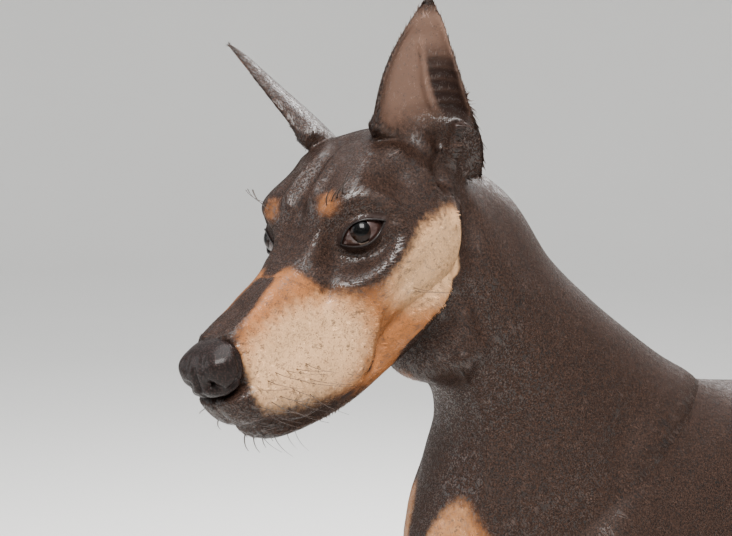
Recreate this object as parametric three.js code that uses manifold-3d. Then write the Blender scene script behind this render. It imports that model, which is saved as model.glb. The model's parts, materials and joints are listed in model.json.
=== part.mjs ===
// A standing Doberman Pinscher, life size, as a still model: cropped ears, docked tail, head turned left.
// Millimetres, +Z up. The dog faces -Y and its left side is +X. The paws stand on the plane Z = 0.
import * as THREE from "three";
import { LoftGeometry } from "three/addons/geometries/LoftGeometry.js";
import { mergeVertices } from "three/addons/utils/BufferGeometryUtils.js";
import Module from "manifold-3d";

const wasm = await Module();
wasm.setup();

// Driving dimensions
const FORELEG_X = 70; // half the track of the front legs
const HINDLEG_X = 77; // half the track of the hind legs
const FORE_PAW_Y = -68; // middle of the front pads
const HIND_PAW_Y = 452; // middle of the hind pads
const GAP = 0.35; // clearance kept between neighbouring solids
const EYE_RADIUS = 11.6;
const LID_THICKNESS = 1.9;
const EAR_WALL = 4; // thickness of the ear's leather
const CLAW_LENGTH = 17;
const HEAD_AT = new THREE.Vector3(40, -342, 814); // the point midway between the eyes
const HEAD_TURN = 25.7; // degrees to the dog's left
const HEAD_NOD = 18.7; // degrees nose down
const HEAD_TILT = -6.4; // degrees, left side raised

const COAT = 0x2e1c17;
const RUST = 0x8f5a35;
const NOSE_LEATHER = 0x1c1312;
const EYE = 0x2a1409;
const HORN = 0x17110f;

const V = (x, y, z) => new THREE.Vector3(x, y, z);
const rad = THREE.MathUtils.degToRad;
const lerp = THREE.MathUtils.lerp;
const LEFT = V(1, 0, 0);

// The head has its own frame: forward along the muzzle, left, and up, from midway between the eyes.
const headFrame = new THREE.Matrix4()
  .makeRotationFromEuler(new THREE.Euler(rad(HEAD_NOD), rad(HEAD_TILT), rad(HEAD_TURN), "ZXY"))
  .setPosition(HEAD_AT);
const inHead = (forward, left, up) => V(left, -forward, up);
const headPoint = (forward, left, up) => inHead(forward, left, up).applyMatrix4(headFrame);
const headLeft = LEFT.clone().transformDirection(headFrame);

// A closed mesh as a solid for joining and cutting, with its faces turned out.
function solid(geometry) {
  geometry.deleteAttribute("normal");
  geometry.deleteAttribute("uv");
  const merged = mergeVertices(geometry, 1e-4);
  const corners = new Uint32Array(merged.index.array);
  const build = () =>
    new wasm.Manifold(
      new wasm.Mesh({
        numProp: 3,
        vertProperties: new Float32Array(merged.attributes.position.array),
        triVerts: corners,
      }),
    );
  const made = build();
  if (made.volume() > 0) return made;
  for (let i = 0; i < corners.length; i += 3)
    [corners[i + 1], corners[i + 2]] = [corners[i + 2], corners[i + 1]];
  return build();
}

const join = (...pieces) => pieces.flat().reduce((whole, piece) => whole.add(piece));
const cut = (from, ...tools) => tools.flat().reduce((rest, tool) => rest.subtract(tool), from);
const largest = (piece) => piece.decompose().reduce((a, b) => (b.volume() > a.volume() ? b : a));

// Places a value from 0 to 1 on the rings, with the first and last stations exact.
function smoothRow(points) {
  const curve = new THREE.CatmullRomCurve3(points);
  return (t) => curve.getPoint(t);
}

// One closed section: an oval through top and bottom, widest at the share mid. A lower square is squarer.
function oval({ top, bottom, half, mid = 0.5, side = LEFT }, sides, square, grow) {
  const centre = bottom.clone().lerp(top, mid);
  const up = top.clone().sub(centre);
  const down = bottom.clone().sub(centre);
  up.setLength(up.length() + grow);
  down.setLength(down.length() + grow);
  const across = side.clone().multiplyScalar(half + grow);
  const curl = (x) => Math.sign(x) * Math.abs(x) ** square;
  return Array.from({ length: sides }, (_, i) => {
    const angle = (i / sides) * 2 * Math.PI;
    const rise = Math.sin(angle);
    return centre
      .clone()
      .addScaledVector(across, curl(Math.cos(angle)))
      .addScaledVector(rise > 0 ? up : down, Math.abs(curl(rise)));
  });
}

const middle = (ring) => ring.reduce((sum, p) => sum.add(p), V(0, 0, 0)).divideScalar(ring.length);

// A loft with both ends closed, its rings turned so that the wall faces out like the caps do.
function capped(sections) {
  const centre = middle(sections[0]);
  const normal = sections[0].reduce((sum, p, i) => {
    const next = sections[0][(i + 1) % sections[0].length];
    return sum.add(p.clone().sub(centre).cross(next.clone().sub(centre)));
  }, V(0, 0, 0));
  if (normal.dot(middle(sections[1]).sub(centre)) < 0) sections.forEach((ring) => ring.reverse());
  return new THREE.BufferGeometry().copy(new LoftGeometry(sections, { capStart: true, capEnd: true }));
}

// A closed loft through stations, run smoothly from one to the next. grow makes it larger all round.
function loft(stations, { rings, sides, square = 0.92, grow = 0, sculpt = (p) => p }) {
  const tops = smoothRow(stations.map((s) => s.top));
  const bottoms = smoothRow(stations.map((s) => s.bottom));
  const sizes = smoothRow(stations.map((s) => V(s.half, 100 * (s.mid ?? 0.5), 0)));
  const across = smoothRow(stations.map((s) => s.side ?? LEFT));
  const sections = Array.from({ length: rings }, (_, i) => {
    const t = i / (rings - 1);
    const { x: half, y: mid } = sizes(t);
    const station = { top: tops(t), bottom: bottoms(t), half: Math.max(half, 0.4), mid: mid / 100 };
    return oval({ ...station, side: across(t).normalize() }, sides, square, grow).map((p) =>
      sculpt(p, station.bottom.clone().lerp(station.top, station.mid)),
    );
  });
  if (grow) {
    const push = (ring, next) => {
      const out = middle(ring).sub(middle(next)).setLength(grow);
      ring.forEach((p) => p.add(out));
    };
    push(sections[0], sections[1]);
    push(sections.at(-1), sections.at(-2));
  }
  return capped(sections);
}

// Stations of a part that runs along Y: [y, top, bottom, half, mid], about the plane X = x.
const alongY = (rows, x = 0) =>
  rows.map(([y, top, bottom, half, mid = 0.5]) => ({
    top: V(x, y, top),
    bottom: V(x, y, bottom),
    half,
    mid,
  }));

// Stations of a leg: [z, front, back, x, half], with the fore and aft edges along Y.
const alongZ = (rows, flip) =>
  rows.map(([z, front, back, x, half, mid = 0.5]) => ({
    top: V(flip * x, front, z),
    bottom: V(flip * x, back, z),
    half,
    mid,
  }));

const ROOM = 2400; // side of a box that holds all of the dog

// A box between two heights, wide enough to hold any part of the dog.
function slab(low, high) {
  const box = new THREE.BoxGeometry(ROOM, ROOM, high - low);
  return solid(box.translate(0, 0, (low + high) / 2));
}

// The half of space beyond a point, as a large box.
function beyond(point, direction) {
  const box = new THREE.BoxGeometry(ROOM, ROOM, ROOM).translate(0, 0, ROOM / 2);
  const turn = new THREE.Quaternion().setFromUnitVectors(V(0, 0, 1), direction.clone().normalize());
  return solid(box.applyQuaternion(turn).translate(point.x, point.y, point.z));
}

// Trunk

// [y, back line, under line, half width, height share of the widest place]
const TRUNK = [
  [-266, 545, 495, 10],
  [-258, 578, 462, 34],
  [-236, 606, 432, 57],
  [-200, 636, 402, 75],
  [-150, 666, 374, 88, 0.52],
  [-90, 690, 356, 95, 0.52],
  [-30, 700, 347, 98, 0.5],
  [40, 691, 346, 101, 0.5],
  [120, 685, 355, 101, 0.52],
  [200, 683, 378, 92, 0.55],
  [270, 684, 414, 78, 0.6],
  [330, 686, 442, 76, 0.62],
  [380, 684, 456, 76, 0.62],
  [420, 672, 470, 66, 0.58],
  [447, 650, 496, 46],
  [458, 625, 535, 18],
];

const trunkLoft = (grow = 0) => solid(loft(alongY(TRUNK), { rings: 25, sides: 26, square: 0.9, grow }));

// Neck: nape point, throat point and half width from the shoulders up to the skull.
const NECK = [
  { top: V(0, 20, 684), bottom: V(0, -175, 440), half: 60 },
  { top: V(0, -15, 704), bottom: V(0, -236, 520), half: 70 },
  { top: V(0, -45, 724), bottom: V(0, -252, 588), half: 68, mid: 0.5 },
  { top: V(0, -76, 745), bottom: V(2, -238, 638), half: 62, mid: 0.48 },
  { top: V(0, -108, 768), bottom: V(5, -228, 678), half: 56, mid: 0.46 },
  { top: V(-3, -145, 801), bottom: V(9, -238, 708), half: 52, mid: 0.46 },
  { top: V(-6, -186, 850), bottom: V(14, -266, 722), half: 50, mid: 0.46, side: V(0.97, 0.2, 0) },
  { top: headPoint(-112, 0, 34), bottom: headPoint(-48, 0, -74), half: 47, mid: 0.45, side: headLeft },
  { top: headPoint(-84, 0, 40), bottom: headPoint(-20, 0, -70), half: 40, mid: 0.45, side: headLeft },
];

const neckLoft = (grow = 0) => solid(loft(NECK, { rings: 16, sides: 24, square: 0.95, grow }));

// Head

// [forward, top, underside, half width, height share of the widest place]
const SKULL = [
  [123, -17, -50, 11, 0.5],
  [118, -13, -61, 17, 0.4],
  [107, -9, -72, 21, 0.34],
  [92, -6, -80, 24, 0.32],
  [74, -3, -86, 26, 0.32],
  [52, 1, -89, 30, 0.36],
  [34, 7, -88, 35, 0.42],
  [20, 16, -82, 41, 0.48],
  [6, 29, -70, 46, 0.52],
  [-10, 40, -65, 50, 0.54],
  [-32, 48, -63, 54, 0.55],
  [-58, 52, -62, 55, 0.55],
  [-84, 50, -58, 52, 0.54],
  [-108, 43, -46, 45, 0.54],
  [-126, 30, -28, 33, 0.54],
  [-135, 12, -8, 14, 0.5],
];

// What stands out from the plain wedge of the head, or sinks into it: [forward, left, up, reach, lift].
const FACE = {
  brow: [4, 27, 31, 15, 5],
  browRear: [-14, 38, 30, 14, 3],
  stopHollow: [22, 0, 16, 15, -2.5],
  foreheadFurrow: [-8, 0, 46, 13, -2.5],
  orbit: [14, 33, 6, 13, -6],
  besideMuzzle: [40, 34, -16, 17, -4],
  zygoma: [-16, 50, -12, 20, 4],
  zygomaRear: [-50, 54, -4, 20, 4],
  masseter: [-46, 52, -42, 26, 5],
  temple: [-40, 48, 26, 20, -4],
  flew: [74, 27, -62, 18, 3],
  flewRear: [36, 32, -74, 15, 3],
};

function sculptFace(point, axisPoint) {
  const out = point.clone().sub(axisPoint).normalize();
  let lift = 0;
  for (const [forward, left, up, reach, height] of Object.values(FACE))
    for (const side of left ? [1, -1] : [1]) {
      const distance = point.distanceTo(inHead(forward, side * left, up));
      lift += height * Math.exp(-((distance / reach) ** 2));
    }
  return point.clone().addScaledVector(out, lift);
}

const alongHead = (rows) =>
  rows.map(([forward, top, bottom, half, mid = 0.5]) => ({
    top: inHead(forward, 0, top),
    bottom: inHead(forward, 0, bottom),
    half,
    mid,
  }));

const intoHead = (geometry) => solid(geometry.applyMatrix4(headFrame));

const skull = intoHead(loft(alongHead(SKULL), { rings: 30, sides: 28, square: 0.8, sculpt: sculptFace }));

// The lower jaw, narrower than the lips that hang over it: [forward, top, underside, half width].
const JAW = [
  [110, -61, -67, 7],
  [106, -58, -76, 14],
  [95, -56, -85, 17],
  [77, -56, -91, 18],
  [54, -55, -95, 21],
  [28, -50, -96, 27, 0.5],
  [0, -46, -91, 35, 0.5],
  [-28, -36, -86, 42, 0.5],
  [-56, -26, -74, 44, 0.5],
  [-76, -20, -56, 36, 0.5],
];

const jaw = (grow = 0) => intoHead(loft(alongHead(JAW), { rings: 14, sides: 16, square: 0.85, grow }));

// Eyes, each looking a little outward, in sockets closed by lids with an almond opening.
const EYE_OUT = 38; // degrees away from straight ahead
const EYE_AT = [-4, 31.5, 4]; // forward, left, up
const LID_OPENING = { long: 17, high: 10, rise: 12 }; // mm, mm and degrees

function eyeFrame(side) {
  const turn = new THREE.Matrix4().makeRotationZ(rad(side * EYE_OUT));
  const rise = new THREE.Matrix4().makeRotationY(rad(-side * LID_OPENING.rise));
  const [forward, left, up] = EYE_AT;
  const place = new THREE.Matrix4().makeTranslation(side * left, -forward, up);
  return headFrame.clone().multiply(place).multiply(turn).multiply(rise);
}

// The opening between the lids, as a prism that starts at the eye's middle and runs out of the head.
function lidOpening(side) {
  const { long, high } = LID_OPENING;
  const almond = new THREE.Shape();
  almond.moveTo(-long, 0);
  almond.quadraticCurveTo(-0.2 * long, 1.75 * high, long, 0);
  almond.quadraticCurveTo(0.1 * long, -1.35 * high, -long, 0);
  const prism = new THREE.ExtrudeGeometry(almond, { depth: 40, bevelEnabled: false, curveSegments: 5 });
  prism.rotateX(Math.PI / 2);
  return solid(prism.applyMatrix4(eyeFrame(side)));
}

const eyeBall = (side, radius, detail = 12) =>
  solid(new THREE.SphereGeometry(radius, detail, Math.round(detail * 0.7)).applyMatrix4(eyeFrame(side)));

// Nose leather: a rounded pad with two comma-shaped nostrils. [forward, top, bottom, half width, mid]
const NOSE = [
  [107, -12, -36, 13, 0.5],
  [110, -10.5, -39, 15.5, 0.5],
  [115, -10, -41, 17, 0.46],
  [121, -11.5, -41.5, 16.5, 0.44],
  [125.5, -15, -39.5, 13.5, 0.46],
  [128, -20, -35, 8, 0.46],
];

const noseLoft = (grow) => loft(alongHead(NOSE), { rings: 9, sides: 16, square: 0.82, grow });

const NOSTRIL_RADIUS = 2.4;

// A curved hole that runs from the front of the pad round to its side.
function nostril(side) {
  const path = new THREE.CatmullRomCurve3([
    inHead(134, side * 6, -31),
    inHead(126.5, side * 6.8, -31.5),
    inHead(122, side * 10.5, -33.5),
    inHead(117, side * 15, -34),
    inHead(112.5, side * 19, -30),
  ]);
  const hole = new THREE.Shape().absarc(0, 0, NOSTRIL_RADIUS, 0, 2 * Math.PI);
  const tube = new THREE.ExtrudeGeometry(hole, { steps: 6, extrudePath: path, curveSegments: 4 });
  return intoHead(tube);
}

// Ears: cropped to a point, each a tapering cup of leather open to the side.
// [height up the ear, half chord, depth of the cup, turn of the opening in degrees, set back of the chord]
const EAR = [
  [-34, 33, 15, 40, 12],
  [-14, 37, 18, 41, 8],
  [6, 35.5, 18, 42, 3.5],
  [26, 31.5, 16, 43, 1.5],
  [46, 26, 13, 44, 0.5],
  [64, 19.5, 10, 45, 0],
  [79, 12.5, 7.5, 46, 0],
  [90, 6.5, 4.6, 46, -0.5],
  [96, 2.4, 2.2, 46, -1],
];
const EAR_BASE = [-74, 44, 38];
const EAR_TIP = [-66, 86, 126];
const EAR_OPENS = { from: -5, to: 17 }; // heights between which the solid root turns into a cup
const EAR_SWEEP = { most: 8, over: 110, left: 0.55, forward: -0.35 }; // how the ear bows on its way up
const SOLID_ROOT = 1.55; // wall of the solid root as a share of the cup's depth
const THIN_TIP = 0.55; // most that the wall may take of the cup's depth
const EDGE_SHARE = 0.6; // how much of the wall shows at the ear's edges

// One section of the ear: round the back of the cup and home along its inside.
function earSection(side, along, halfChord, depth, turn, setBack, wall) {
  const base = V(...EAR_BASE);
  const axis = V(...EAR_TIP).sub(base).normalize();
  const risen = THREE.MathUtils.clamp(along / EAR_SWEEP.over, 0, 1);
  const sweep = EAR_SWEEP.most * Math.sin(Math.PI * risen);
  const bow = V(sweep * EAR_SWEEP.left, sweep * EAR_SWEEP.forward, 0);
  const centre = base.clone().addScaledVector(axis, along).add(bow);
  const ahead = V(Math.cos(rad(turn)), -Math.sin(rad(turn)), 0).projectOnPlane(axis).normalize();
  centre.addScaledVector(ahead, -setBack);
  const outward = new THREE.Vector3().crossVectors(axis, ahead).normalize();
  if (outward.y < 0) outward.negate();
  const at = (a, chord, deep) =>
    centre
      .clone()
      .addScaledVector(ahead, Math.cos(a) * chord)
      .addScaledVector(outward, -Math.sin(a) * deep);
  const steps = 9;
  const outer = Array.from({ length: steps + 1 }, (_, i) => at((i / steps) * Math.PI, halfChord, depth));
  const inner = Array.from({ length: steps - 1 }, (_, i) => {
    const a = ((steps - 1 - i) / steps) * Math.PI;
    return at(a, halfChord - wall * EDGE_SHARE, depth - wall);
  });
  return [...outer, ...inner].map((p) => inHead(p.x, side * p.y, p.z));
}

function earLoft(side) {
  const rows = new THREE.CatmullRomCurve3(EAR.map(([along, chord, depth]) => V(along, chord, depth)));
  const turns = new THREE.CatmullRomCurve3(EAR.map(([, , , turn, setBack]) => V(turn, setBack, 0)));
  const rings = 13;
  const sections = Array.from({ length: rings }, (_, i) => {
    const t = i / (rings - 1);
    const { x: along, y: chord, z: depth } = rows.getPoint(t);
    const open = THREE.MathUtils.smoothstep(along, EAR_OPENS.from, EAR_OPENS.to);
    const wall = lerp(depth * SOLID_ROOT, Math.min(EAR_WALL, depth * THIN_TIP), open);
    const { x: turn, y: setBack } = turns.getPoint(t);
    return earSection(side, along, chord, depth, turn, setBack, wall);
  });
  return intoHead(capped(sections));
}

// Legs

// Front leg with its shoulder: [z, front edge, back edge, x, half width]
const FORELEG = [
  [662, -28, 44, 40, 16],
  [620, -62, 50, 54, 26],
  [572, -106, 50, 64, 31],
  [520, -152, 38, 71, 32],
  [470, -184, 26, 75, 32],
  [430, -170, 24, 77, 31],
  [396, -126, 26, 77, 28],
  [366, -80, 26, 75, 25],
  [336, -61, 10, 73, 23],
  [290, -58, -5, 71, 20.5],
  [240, -53, -13, FORELEG_X, 17],
  [200, -52, -16, FORELEG_X, 15.5],
  [174, -56, -14, FORELEG_X, 18],
  [150, -55, -12, FORELEG_X, 17],
  [116, -58, -28, FORELEG_X, 15],
  [82, -68, -35, FORELEG_X, 17],
  [58, -84, -40, FORELEG_X, 23],
  [38, -94, -43, FORELEG_X, 28],
  [20, -94, -42, FORELEG_X, 29],
  [4, -88, -46, FORELEG_X, 24],
  [-6, -78, -54, FORELEG_X, 16],
];

// Hind leg with its thigh.
const HINDLEG = [
  [660, 326, 418, 34, 20],
  [612, 296, 448, 50, 37],
  [560, 284, 458, 62, 41],
  [508, 279, 454, 69, 40],
  [455, 285, 434, 74, 37],
  [415, 300, 418, 76, 33],
  [375, 328, 414, HINDLEG_X, 28],
  [325, 364, 434, HINDLEG_X, 22],
  [275, 400, 458, HINDLEG_X, 18],
  [232, 434, 486, HINDLEG_X, 15],
  [196, 454, 506, HINDLEG_X, 15],
  [168, 462, 504, HINDLEG_X, 16.5],
  [138, 464, 496, HINDLEG_X, 14.5],
  [100, 459, 490, HINDLEG_X, 13.5],
  [72, 450, 485, HINDLEG_X, 15],
  [54, 436, 480, HINDLEG_X, 21],
  [36, 426, 477, HINDLEG_X, 26],
  [20, 426, 478, HINDLEG_X, 27],
  [4, 432, 474, HINDLEG_X, 23],
  [-6, 442, 466, HINDLEG_X, 15],
];

// A toe from the pad forward to its tip: [y from the pad's middle, top, bottom, half width]
const TOE = [
  [22, 15, -4, 3],
  [13, 34, -4, 8],
  [-10, 48, -4, 10],
  [-34, 43, -4, 11],
  [-48, 31, -4, 10],
  [-57, 19, 2, 6],
];
// Sideways place, set back and splay of the four toes, from the inside of the paw out.
const TOES = [
  { across: -24, back: 14, splay: -0.16 },
  { across: -9.5, back: 1, splay: -0.05 },
  { across: 9.5, back: 0, splay: 0.05 },
  { across: 24, back: 12, splay: 0.16 },
];
// A claw's curve: [forward, height, radius]
const CLAW = [
  [-6, 13, 4.2],
  [2, 12.5, 3.6],
  [0.55 * CLAW_LENGTH, 9, 2.6],
  [CLAW_LENGTH, 2.6, 0.7],
];
const CLAW_NARROW = 0.8; // a claw's width as a share of its height

const ground = slab(-60, 0);

function toePlace({ across, back, splay }, pawX, pawY, forward, flip) {
  return V(pawX + flip * (across + splay * -forward), pawY + back + forward, 0);
}

function toeLoft(toe, pawX, pawY, flip) {
  const rows = TOE.map(([y, top, bottom, half]) => {
    const at = toePlace(toe, pawX, pawY, y, flip);
    return { top: V(at.x, at.y, top), bottom: V(at.x, at.y, bottom), half };
  });
  return solid(loft(rows, { rings: 7, sides: 8, square: 0.95 }));
}

function clawLoft(toe, pawX, pawY, flip, grow = 0) {
  const tip = TOE.at(-1)[0];
  const rows = CLAW.map(([forward, height, radius]) => {
    const at = toePlace(toe, pawX, pawY, tip - forward, flip);
    const edge = (z) => V(at.x, at.y, z);
    return { top: edge(height + radius), bottom: edge(height - radius), half: radius * CLAW_NARROW };
  });
  return solid(loft(rows, { rings: 5, sides: 6, square: 1, grow }));
}

// A whole leg down to the toes, cut flat where it stands, with its claws apart.
function leg(rows, pawX, pawY, flip) {
  const limb = solid(loft(alongZ(rows, flip), { rings: 24, sides: 16, square: 0.95 }));
  const toes = TOES.map((toe) => toeLoft(toe, flip * pawX, pawY, flip));
  const claws = TOES.map((toe) => clawLoft(toe, flip * pawX, pawY, flip));
  const sockets = TOES.map((toe) => clawLoft(toe, flip * pawX, pawY, flip, GAP));
  const whole = cut(join(limb, toes), ground);
  return { flesh: cut(whole, sockets), claws };
}

// Tail, docked to a few joints and carried a little up: [distance, half width]
const TAIL = [
  [-30, 20],
  [0, 19],
  [35, 15],
  [62, 12.5],
  [74, 9],
  [79, 3],
];
const TAIL_FROM = V(0, 436, 652);
const TAIL_RISE = 42;

function tailLoft() {
  const along = V(0, Math.cos(rad(TAIL_RISE)), Math.sin(rad(TAIL_RISE)));
  const over = V(0, -along.z, along.y);
  const rows = TAIL.map(([distance, half]) => {
    const centre = TAIL_FROM.clone().addScaledVector(along, distance);
    const top = centre.clone().addScaledVector(over, half);
    return { top, bottom: centre.clone().addScaledVector(over, -half), half };
  });
  return solid(loft(rows, { rings: 10, sides: 14, square: 1 }));
}

// The whole dog, parted

const JAW_HINGE = 8; // how far forward of the eyes the free part of the jaw ends
const EAR_CUT = 6; // height up the ear where it is parted from the skull
const EAR_REACH = { at: [-70, 88, 72], radius: 95 }; // a ball that holds one ear and little of the head
const NECK_CUT = { at: [-74, 0, 0], towards: [1, 0, 0.42] }; // where the head is parted from the neck
const TRUNK_CUTS = [215, 345]; // Y where the chest ends and where the rump begins
const LEG_CUTS = {
  fore: { elbow: 372, wrist: 128, names: ["shoulder", "forearm", "fore_paw"] },
  hind: { elbow: 398, wrist: 182, names: ["thigh", "lower_thigh", "hind_paw"] },
};
const SIDES = [
  ["left", 1],
  ["right", -1],
];

const dog = new THREE.Group();

function add(name, piece, colour, roughness = 0.5) {
  const mesh = largest(piece).getMesh();
  const positions = new Float32Array(mesh.numVert * 3);
  for (let i = 0; i < mesh.numVert; i++)
    positions.set(mesh.vertProperties.subarray(i * mesh.numProp, i * mesh.numProp + 3), i * 3);
  const geometry = new THREE.BufferGeometry()
    .setAttribute("position", new THREE.BufferAttribute(positions, 3))
    .setIndex(new THREE.BufferAttribute(new Uint32Array(mesh.triVerts), 1));
  geometry.computeVertexNormals();
  const finish = new THREE.MeshStandardMaterial({ color: colour, roughness, metalness: 0 });
  const made = new THREE.Mesh(geometry, finish);
  made.name = name;
  dog.add(made);
}

// Splits a piece where a plane crosses it, with the gap between the near half and the far half.
function part(piece, point, direction) {
  const along = direction.clone().normalize();
  const far = beyond(point.clone().addScaledVector(along, GAP / 2), along);
  const near = beyond(point.clone().addScaledVector(along, -GAP / 2), along.clone().negate());
  return [piece.intersect(near), piece.intersect(far)];
}

// A direction of the head's own frame, in the dog's.
const headWay = (forward, left, up) => headPoint(forward, left, up).sub(HEAD_AT);

// The free part of the lower jaw, and the room it lies in, which leaves the line of the mouth open.
const aheadOfHinge = (forward) => beyond(headPoint(forward, 0, 0), headWay(1, 0, 0));
const freeJaw = jaw().intersect(aheadOfHinge(JAW_HINGE));
const jawRoom = jaw(GAP).intersect(aheadOfHinge(JAW_HINGE - GAP));

// Skull, lids and ears in one, with the eye sockets, the lids' openings, the nose and the jaw cut free.
const sockets = SIDES.map(([, side]) => eyeBall(side, EYE_RADIUS + GAP));
const openings = SIDES.map(([, side]) => lidOpening(side));
const lids = SIDES.map(([, side]) => eyeBall(side, EYE_RADIUS + LID_THICKNESS));
const ears = SIDES.map(([, side]) => earLoft(side));
const noseRoom = intoHead(noseLoft(GAP));
let face = cut(join(skull, jaw(), lids, ears), sockets, openings, noseRoom);

for (const [name, side] of SIDES) {
  const base = V(...EAR_BASE);
  const axis = V(...EAR_TIP).sub(base).normalize();
  const at = base.clone().addScaledVector(axis, EAR_CUT);
  const point = headPoint(at.x, side * at.y, at.z);
  const direction = headWay(axis.x, side * axis.y, axis.z);
  const [forward, left, up] = EAR_REACH.at;
  const ball = new THREE.SphereGeometry(EAR_REACH.radius, 24, 16);
  const reach = intoHead(ball.translate(side * left, -forward, up));
  const [, ear] = part(face.intersect(reach), point, direction);
  face = cut(face, beyond(point, direction).intersect(reach));
  add("ear_" + name, ear, COAT, 0.55);
}

const trunk = trunkLoft();
const trunkRoom = trunkLoft(GAP);
const neckRoom = neckLoft(GAP);
const headAndNeck = cut(join(face, neckLoft()), trunkRoom, jawRoom, sockets, openings, noseRoom);
const [neck, head] = part(headAndNeck, headPoint(...NECK_CUT.at), headWay(...NECK_CUT.towards));
add("head", head, COAT);
add("lower_jaw", freeJaw, RUST);
add("nose", cut(intoHead(noseLoft(0)), nostril(1), nostril(-1)), NOSE_LEATHER, 0.35);
for (const [name, side] of SIDES) add("eye_" + name, eyeBall(side, EYE_RADIUS), EYE, 0.05);
add("neck", neck, COAT);

const BACKWARD = V(0, 1, 0);
const [chestEnd, rumpStart] = TRUNK_CUTS;
const [chest, rear] = part(trunk, V(0, chestEnd, 0), BACKWARD);
const [loin, rump] = part(rear, V(0, rumpStart, 0), BACKWARD);
add("chest", chest, COAT);
add("loin", loin, COAT);
add("rump", rump, COAT);
add("tail", cut(tailLoft(), trunkRoom), COAT);

for (const [name, side] of SIDES)
  for (const [kind, rows, pawX, pawY] of [
    ["fore", FORELEG, FORELEG_X, FORE_PAW_Y],
    ["hind", HINDLEG, HINDLEG_X, HIND_PAW_Y],
  ]) {
    const { flesh, claws } = leg(rows, pawX, pawY, side);
    const { elbow, wrist, names } = LEG_CUTS[kind];
    const free = largest(cut(flesh, trunkRoom, neckRoom));
    const [lower, upper] = part(free, V(0, 0, elbow), V(0, 0, 1));
    const [foot, shank] = part(lower, V(0, 0, wrist), V(0, 0, 1));
    add(names[0] + "_" + name, upper, COAT);
    add(names[1] + "_" + name, shank, RUST);
    add(names[2] + "_" + name, foot, RUST);
    claws.forEach((claw, i) => add(kind + "_claw_" + name + "_" + (i + 1), cut(claw, ground), HORN, 0.3));
  }

// The origin is on the floor, under the middle of the box around the dog.
const box = new THREE.Box3().setFromObject(dog);
const centre = box.getCenter(V(0, 0, 0));
dog.children.forEach((mesh) => mesh.geometry.translate(-centre.x, -centre.y, -box.min.z));

export default dog;
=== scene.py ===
# %% [markdown]
# # A standing Doberman Pinscher
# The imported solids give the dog's size and stance. This script dresses them: one continuous skin,
# a short glossy coat, wet eyes, a leather nose, claws and whiskers. It works in millimetres, and
# each finished piece is moved to metres in the frame of the solids, so it lies where they lie.

import bmesh
import bpy
import json
import math
import numpy as np
from mathutils import Euler, Matrix, Vector
from mathutils.bvhtree import BVHTree
from mathutils.kdtree import KDTree

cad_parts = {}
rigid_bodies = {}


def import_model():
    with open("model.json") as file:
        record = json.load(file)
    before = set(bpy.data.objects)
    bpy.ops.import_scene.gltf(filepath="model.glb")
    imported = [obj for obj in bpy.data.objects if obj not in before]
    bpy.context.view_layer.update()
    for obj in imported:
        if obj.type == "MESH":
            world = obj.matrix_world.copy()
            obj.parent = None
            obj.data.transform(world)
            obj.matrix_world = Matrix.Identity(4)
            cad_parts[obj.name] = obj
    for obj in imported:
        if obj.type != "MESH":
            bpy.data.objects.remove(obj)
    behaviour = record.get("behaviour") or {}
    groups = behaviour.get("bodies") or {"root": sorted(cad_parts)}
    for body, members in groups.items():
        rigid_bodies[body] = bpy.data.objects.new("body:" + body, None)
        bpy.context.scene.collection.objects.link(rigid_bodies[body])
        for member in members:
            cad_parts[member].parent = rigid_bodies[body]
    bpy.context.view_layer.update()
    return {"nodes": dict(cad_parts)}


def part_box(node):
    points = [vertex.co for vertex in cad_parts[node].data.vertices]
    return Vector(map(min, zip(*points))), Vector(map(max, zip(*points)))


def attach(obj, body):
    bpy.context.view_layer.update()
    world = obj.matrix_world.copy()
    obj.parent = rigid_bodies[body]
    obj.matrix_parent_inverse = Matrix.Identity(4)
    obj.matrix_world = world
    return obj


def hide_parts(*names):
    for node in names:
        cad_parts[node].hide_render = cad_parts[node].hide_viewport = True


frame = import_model()
SEED = 7
rng = np.random.default_rng(SEED)

# %% [markdown]
# Three small helpers are used all the way down. Each works on a whole array at once.

# %% Helpers for arrays
def unit(vectors):
    """Vectors of length one."""
    return vectors / np.maximum(np.linalg.norm(vectors, axis=-1, keepdims=True), 1e-9)


def ramp(values, low, high):
    """0 below low, 1 above high, and a soft step between them."""
    share = np.clip((np.asarray(values, float) - low) / (high - low), 0, 1)
    return share * share * (3 - 2 * share)


def blend(first, second, share):
    """first where the share is 0, second where it is 1."""
    return first + (second - first) * share


# %% [markdown]
# The head is turned, nodded and tilted, and it is easiest to shape in a frame of its own: forward
# along the muzzle, left, and up, in millimetres from the point midway between the eyes. The body
# keeps the dog's frame, also in millimetres. One known point, the middle of the left eye, says how
# far that frame lies from the origin of the solids.

# %% The head's own frame
HEAD_AT = np.array([40.0, -342.0, 814.0])
HEAD_TURN, HEAD_NOD, HEAD_TILT = 25.7, 18.7, -6.4
EYE_AT = (-4.0, 31.5, 4.0)
MM = 0.001


def turned(axis, degrees):
    return np.array(Matrix.Rotation(math.radians(degrees), 3, axis))


HEAD_TURNED = turned("Z", HEAD_TURN) @ turned("X", HEAD_NOD) @ turned("Y", HEAD_TILT)
ACROSS_HEAD = HEAD_TURNED[:, 0]


def from_head(points):
    """Points given as forward, left, up of the head, in the dog's frame."""
    forward, left, up = np.moveaxis(np.asarray(points, float), -1, 0)
    return HEAD_AT + np.stack([left, -forward, up], -1) @ HEAD_TURNED.T


def to_head(points):
    """The forward, left and up of points in the dog's frame."""
    x, y, z = np.moveaxis((np.asarray(points, float) - HEAD_AT) @ HEAD_TURNED, -1, 0)
    return np.stack([-y, x, z], -1)


low, high = (np.array(corner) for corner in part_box("eye_left"))
OFFSET = (low + high) / 2 - from_head(EYE_AT) * MM
print("the solids lie", OFFSET.round(4), "from the dog's frame")

# %% [markdown]
# The camera stands a little above the dog's eyes, in front of its left side, and looks five degrees
# down. Only the head and neck fill the picture.

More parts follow.
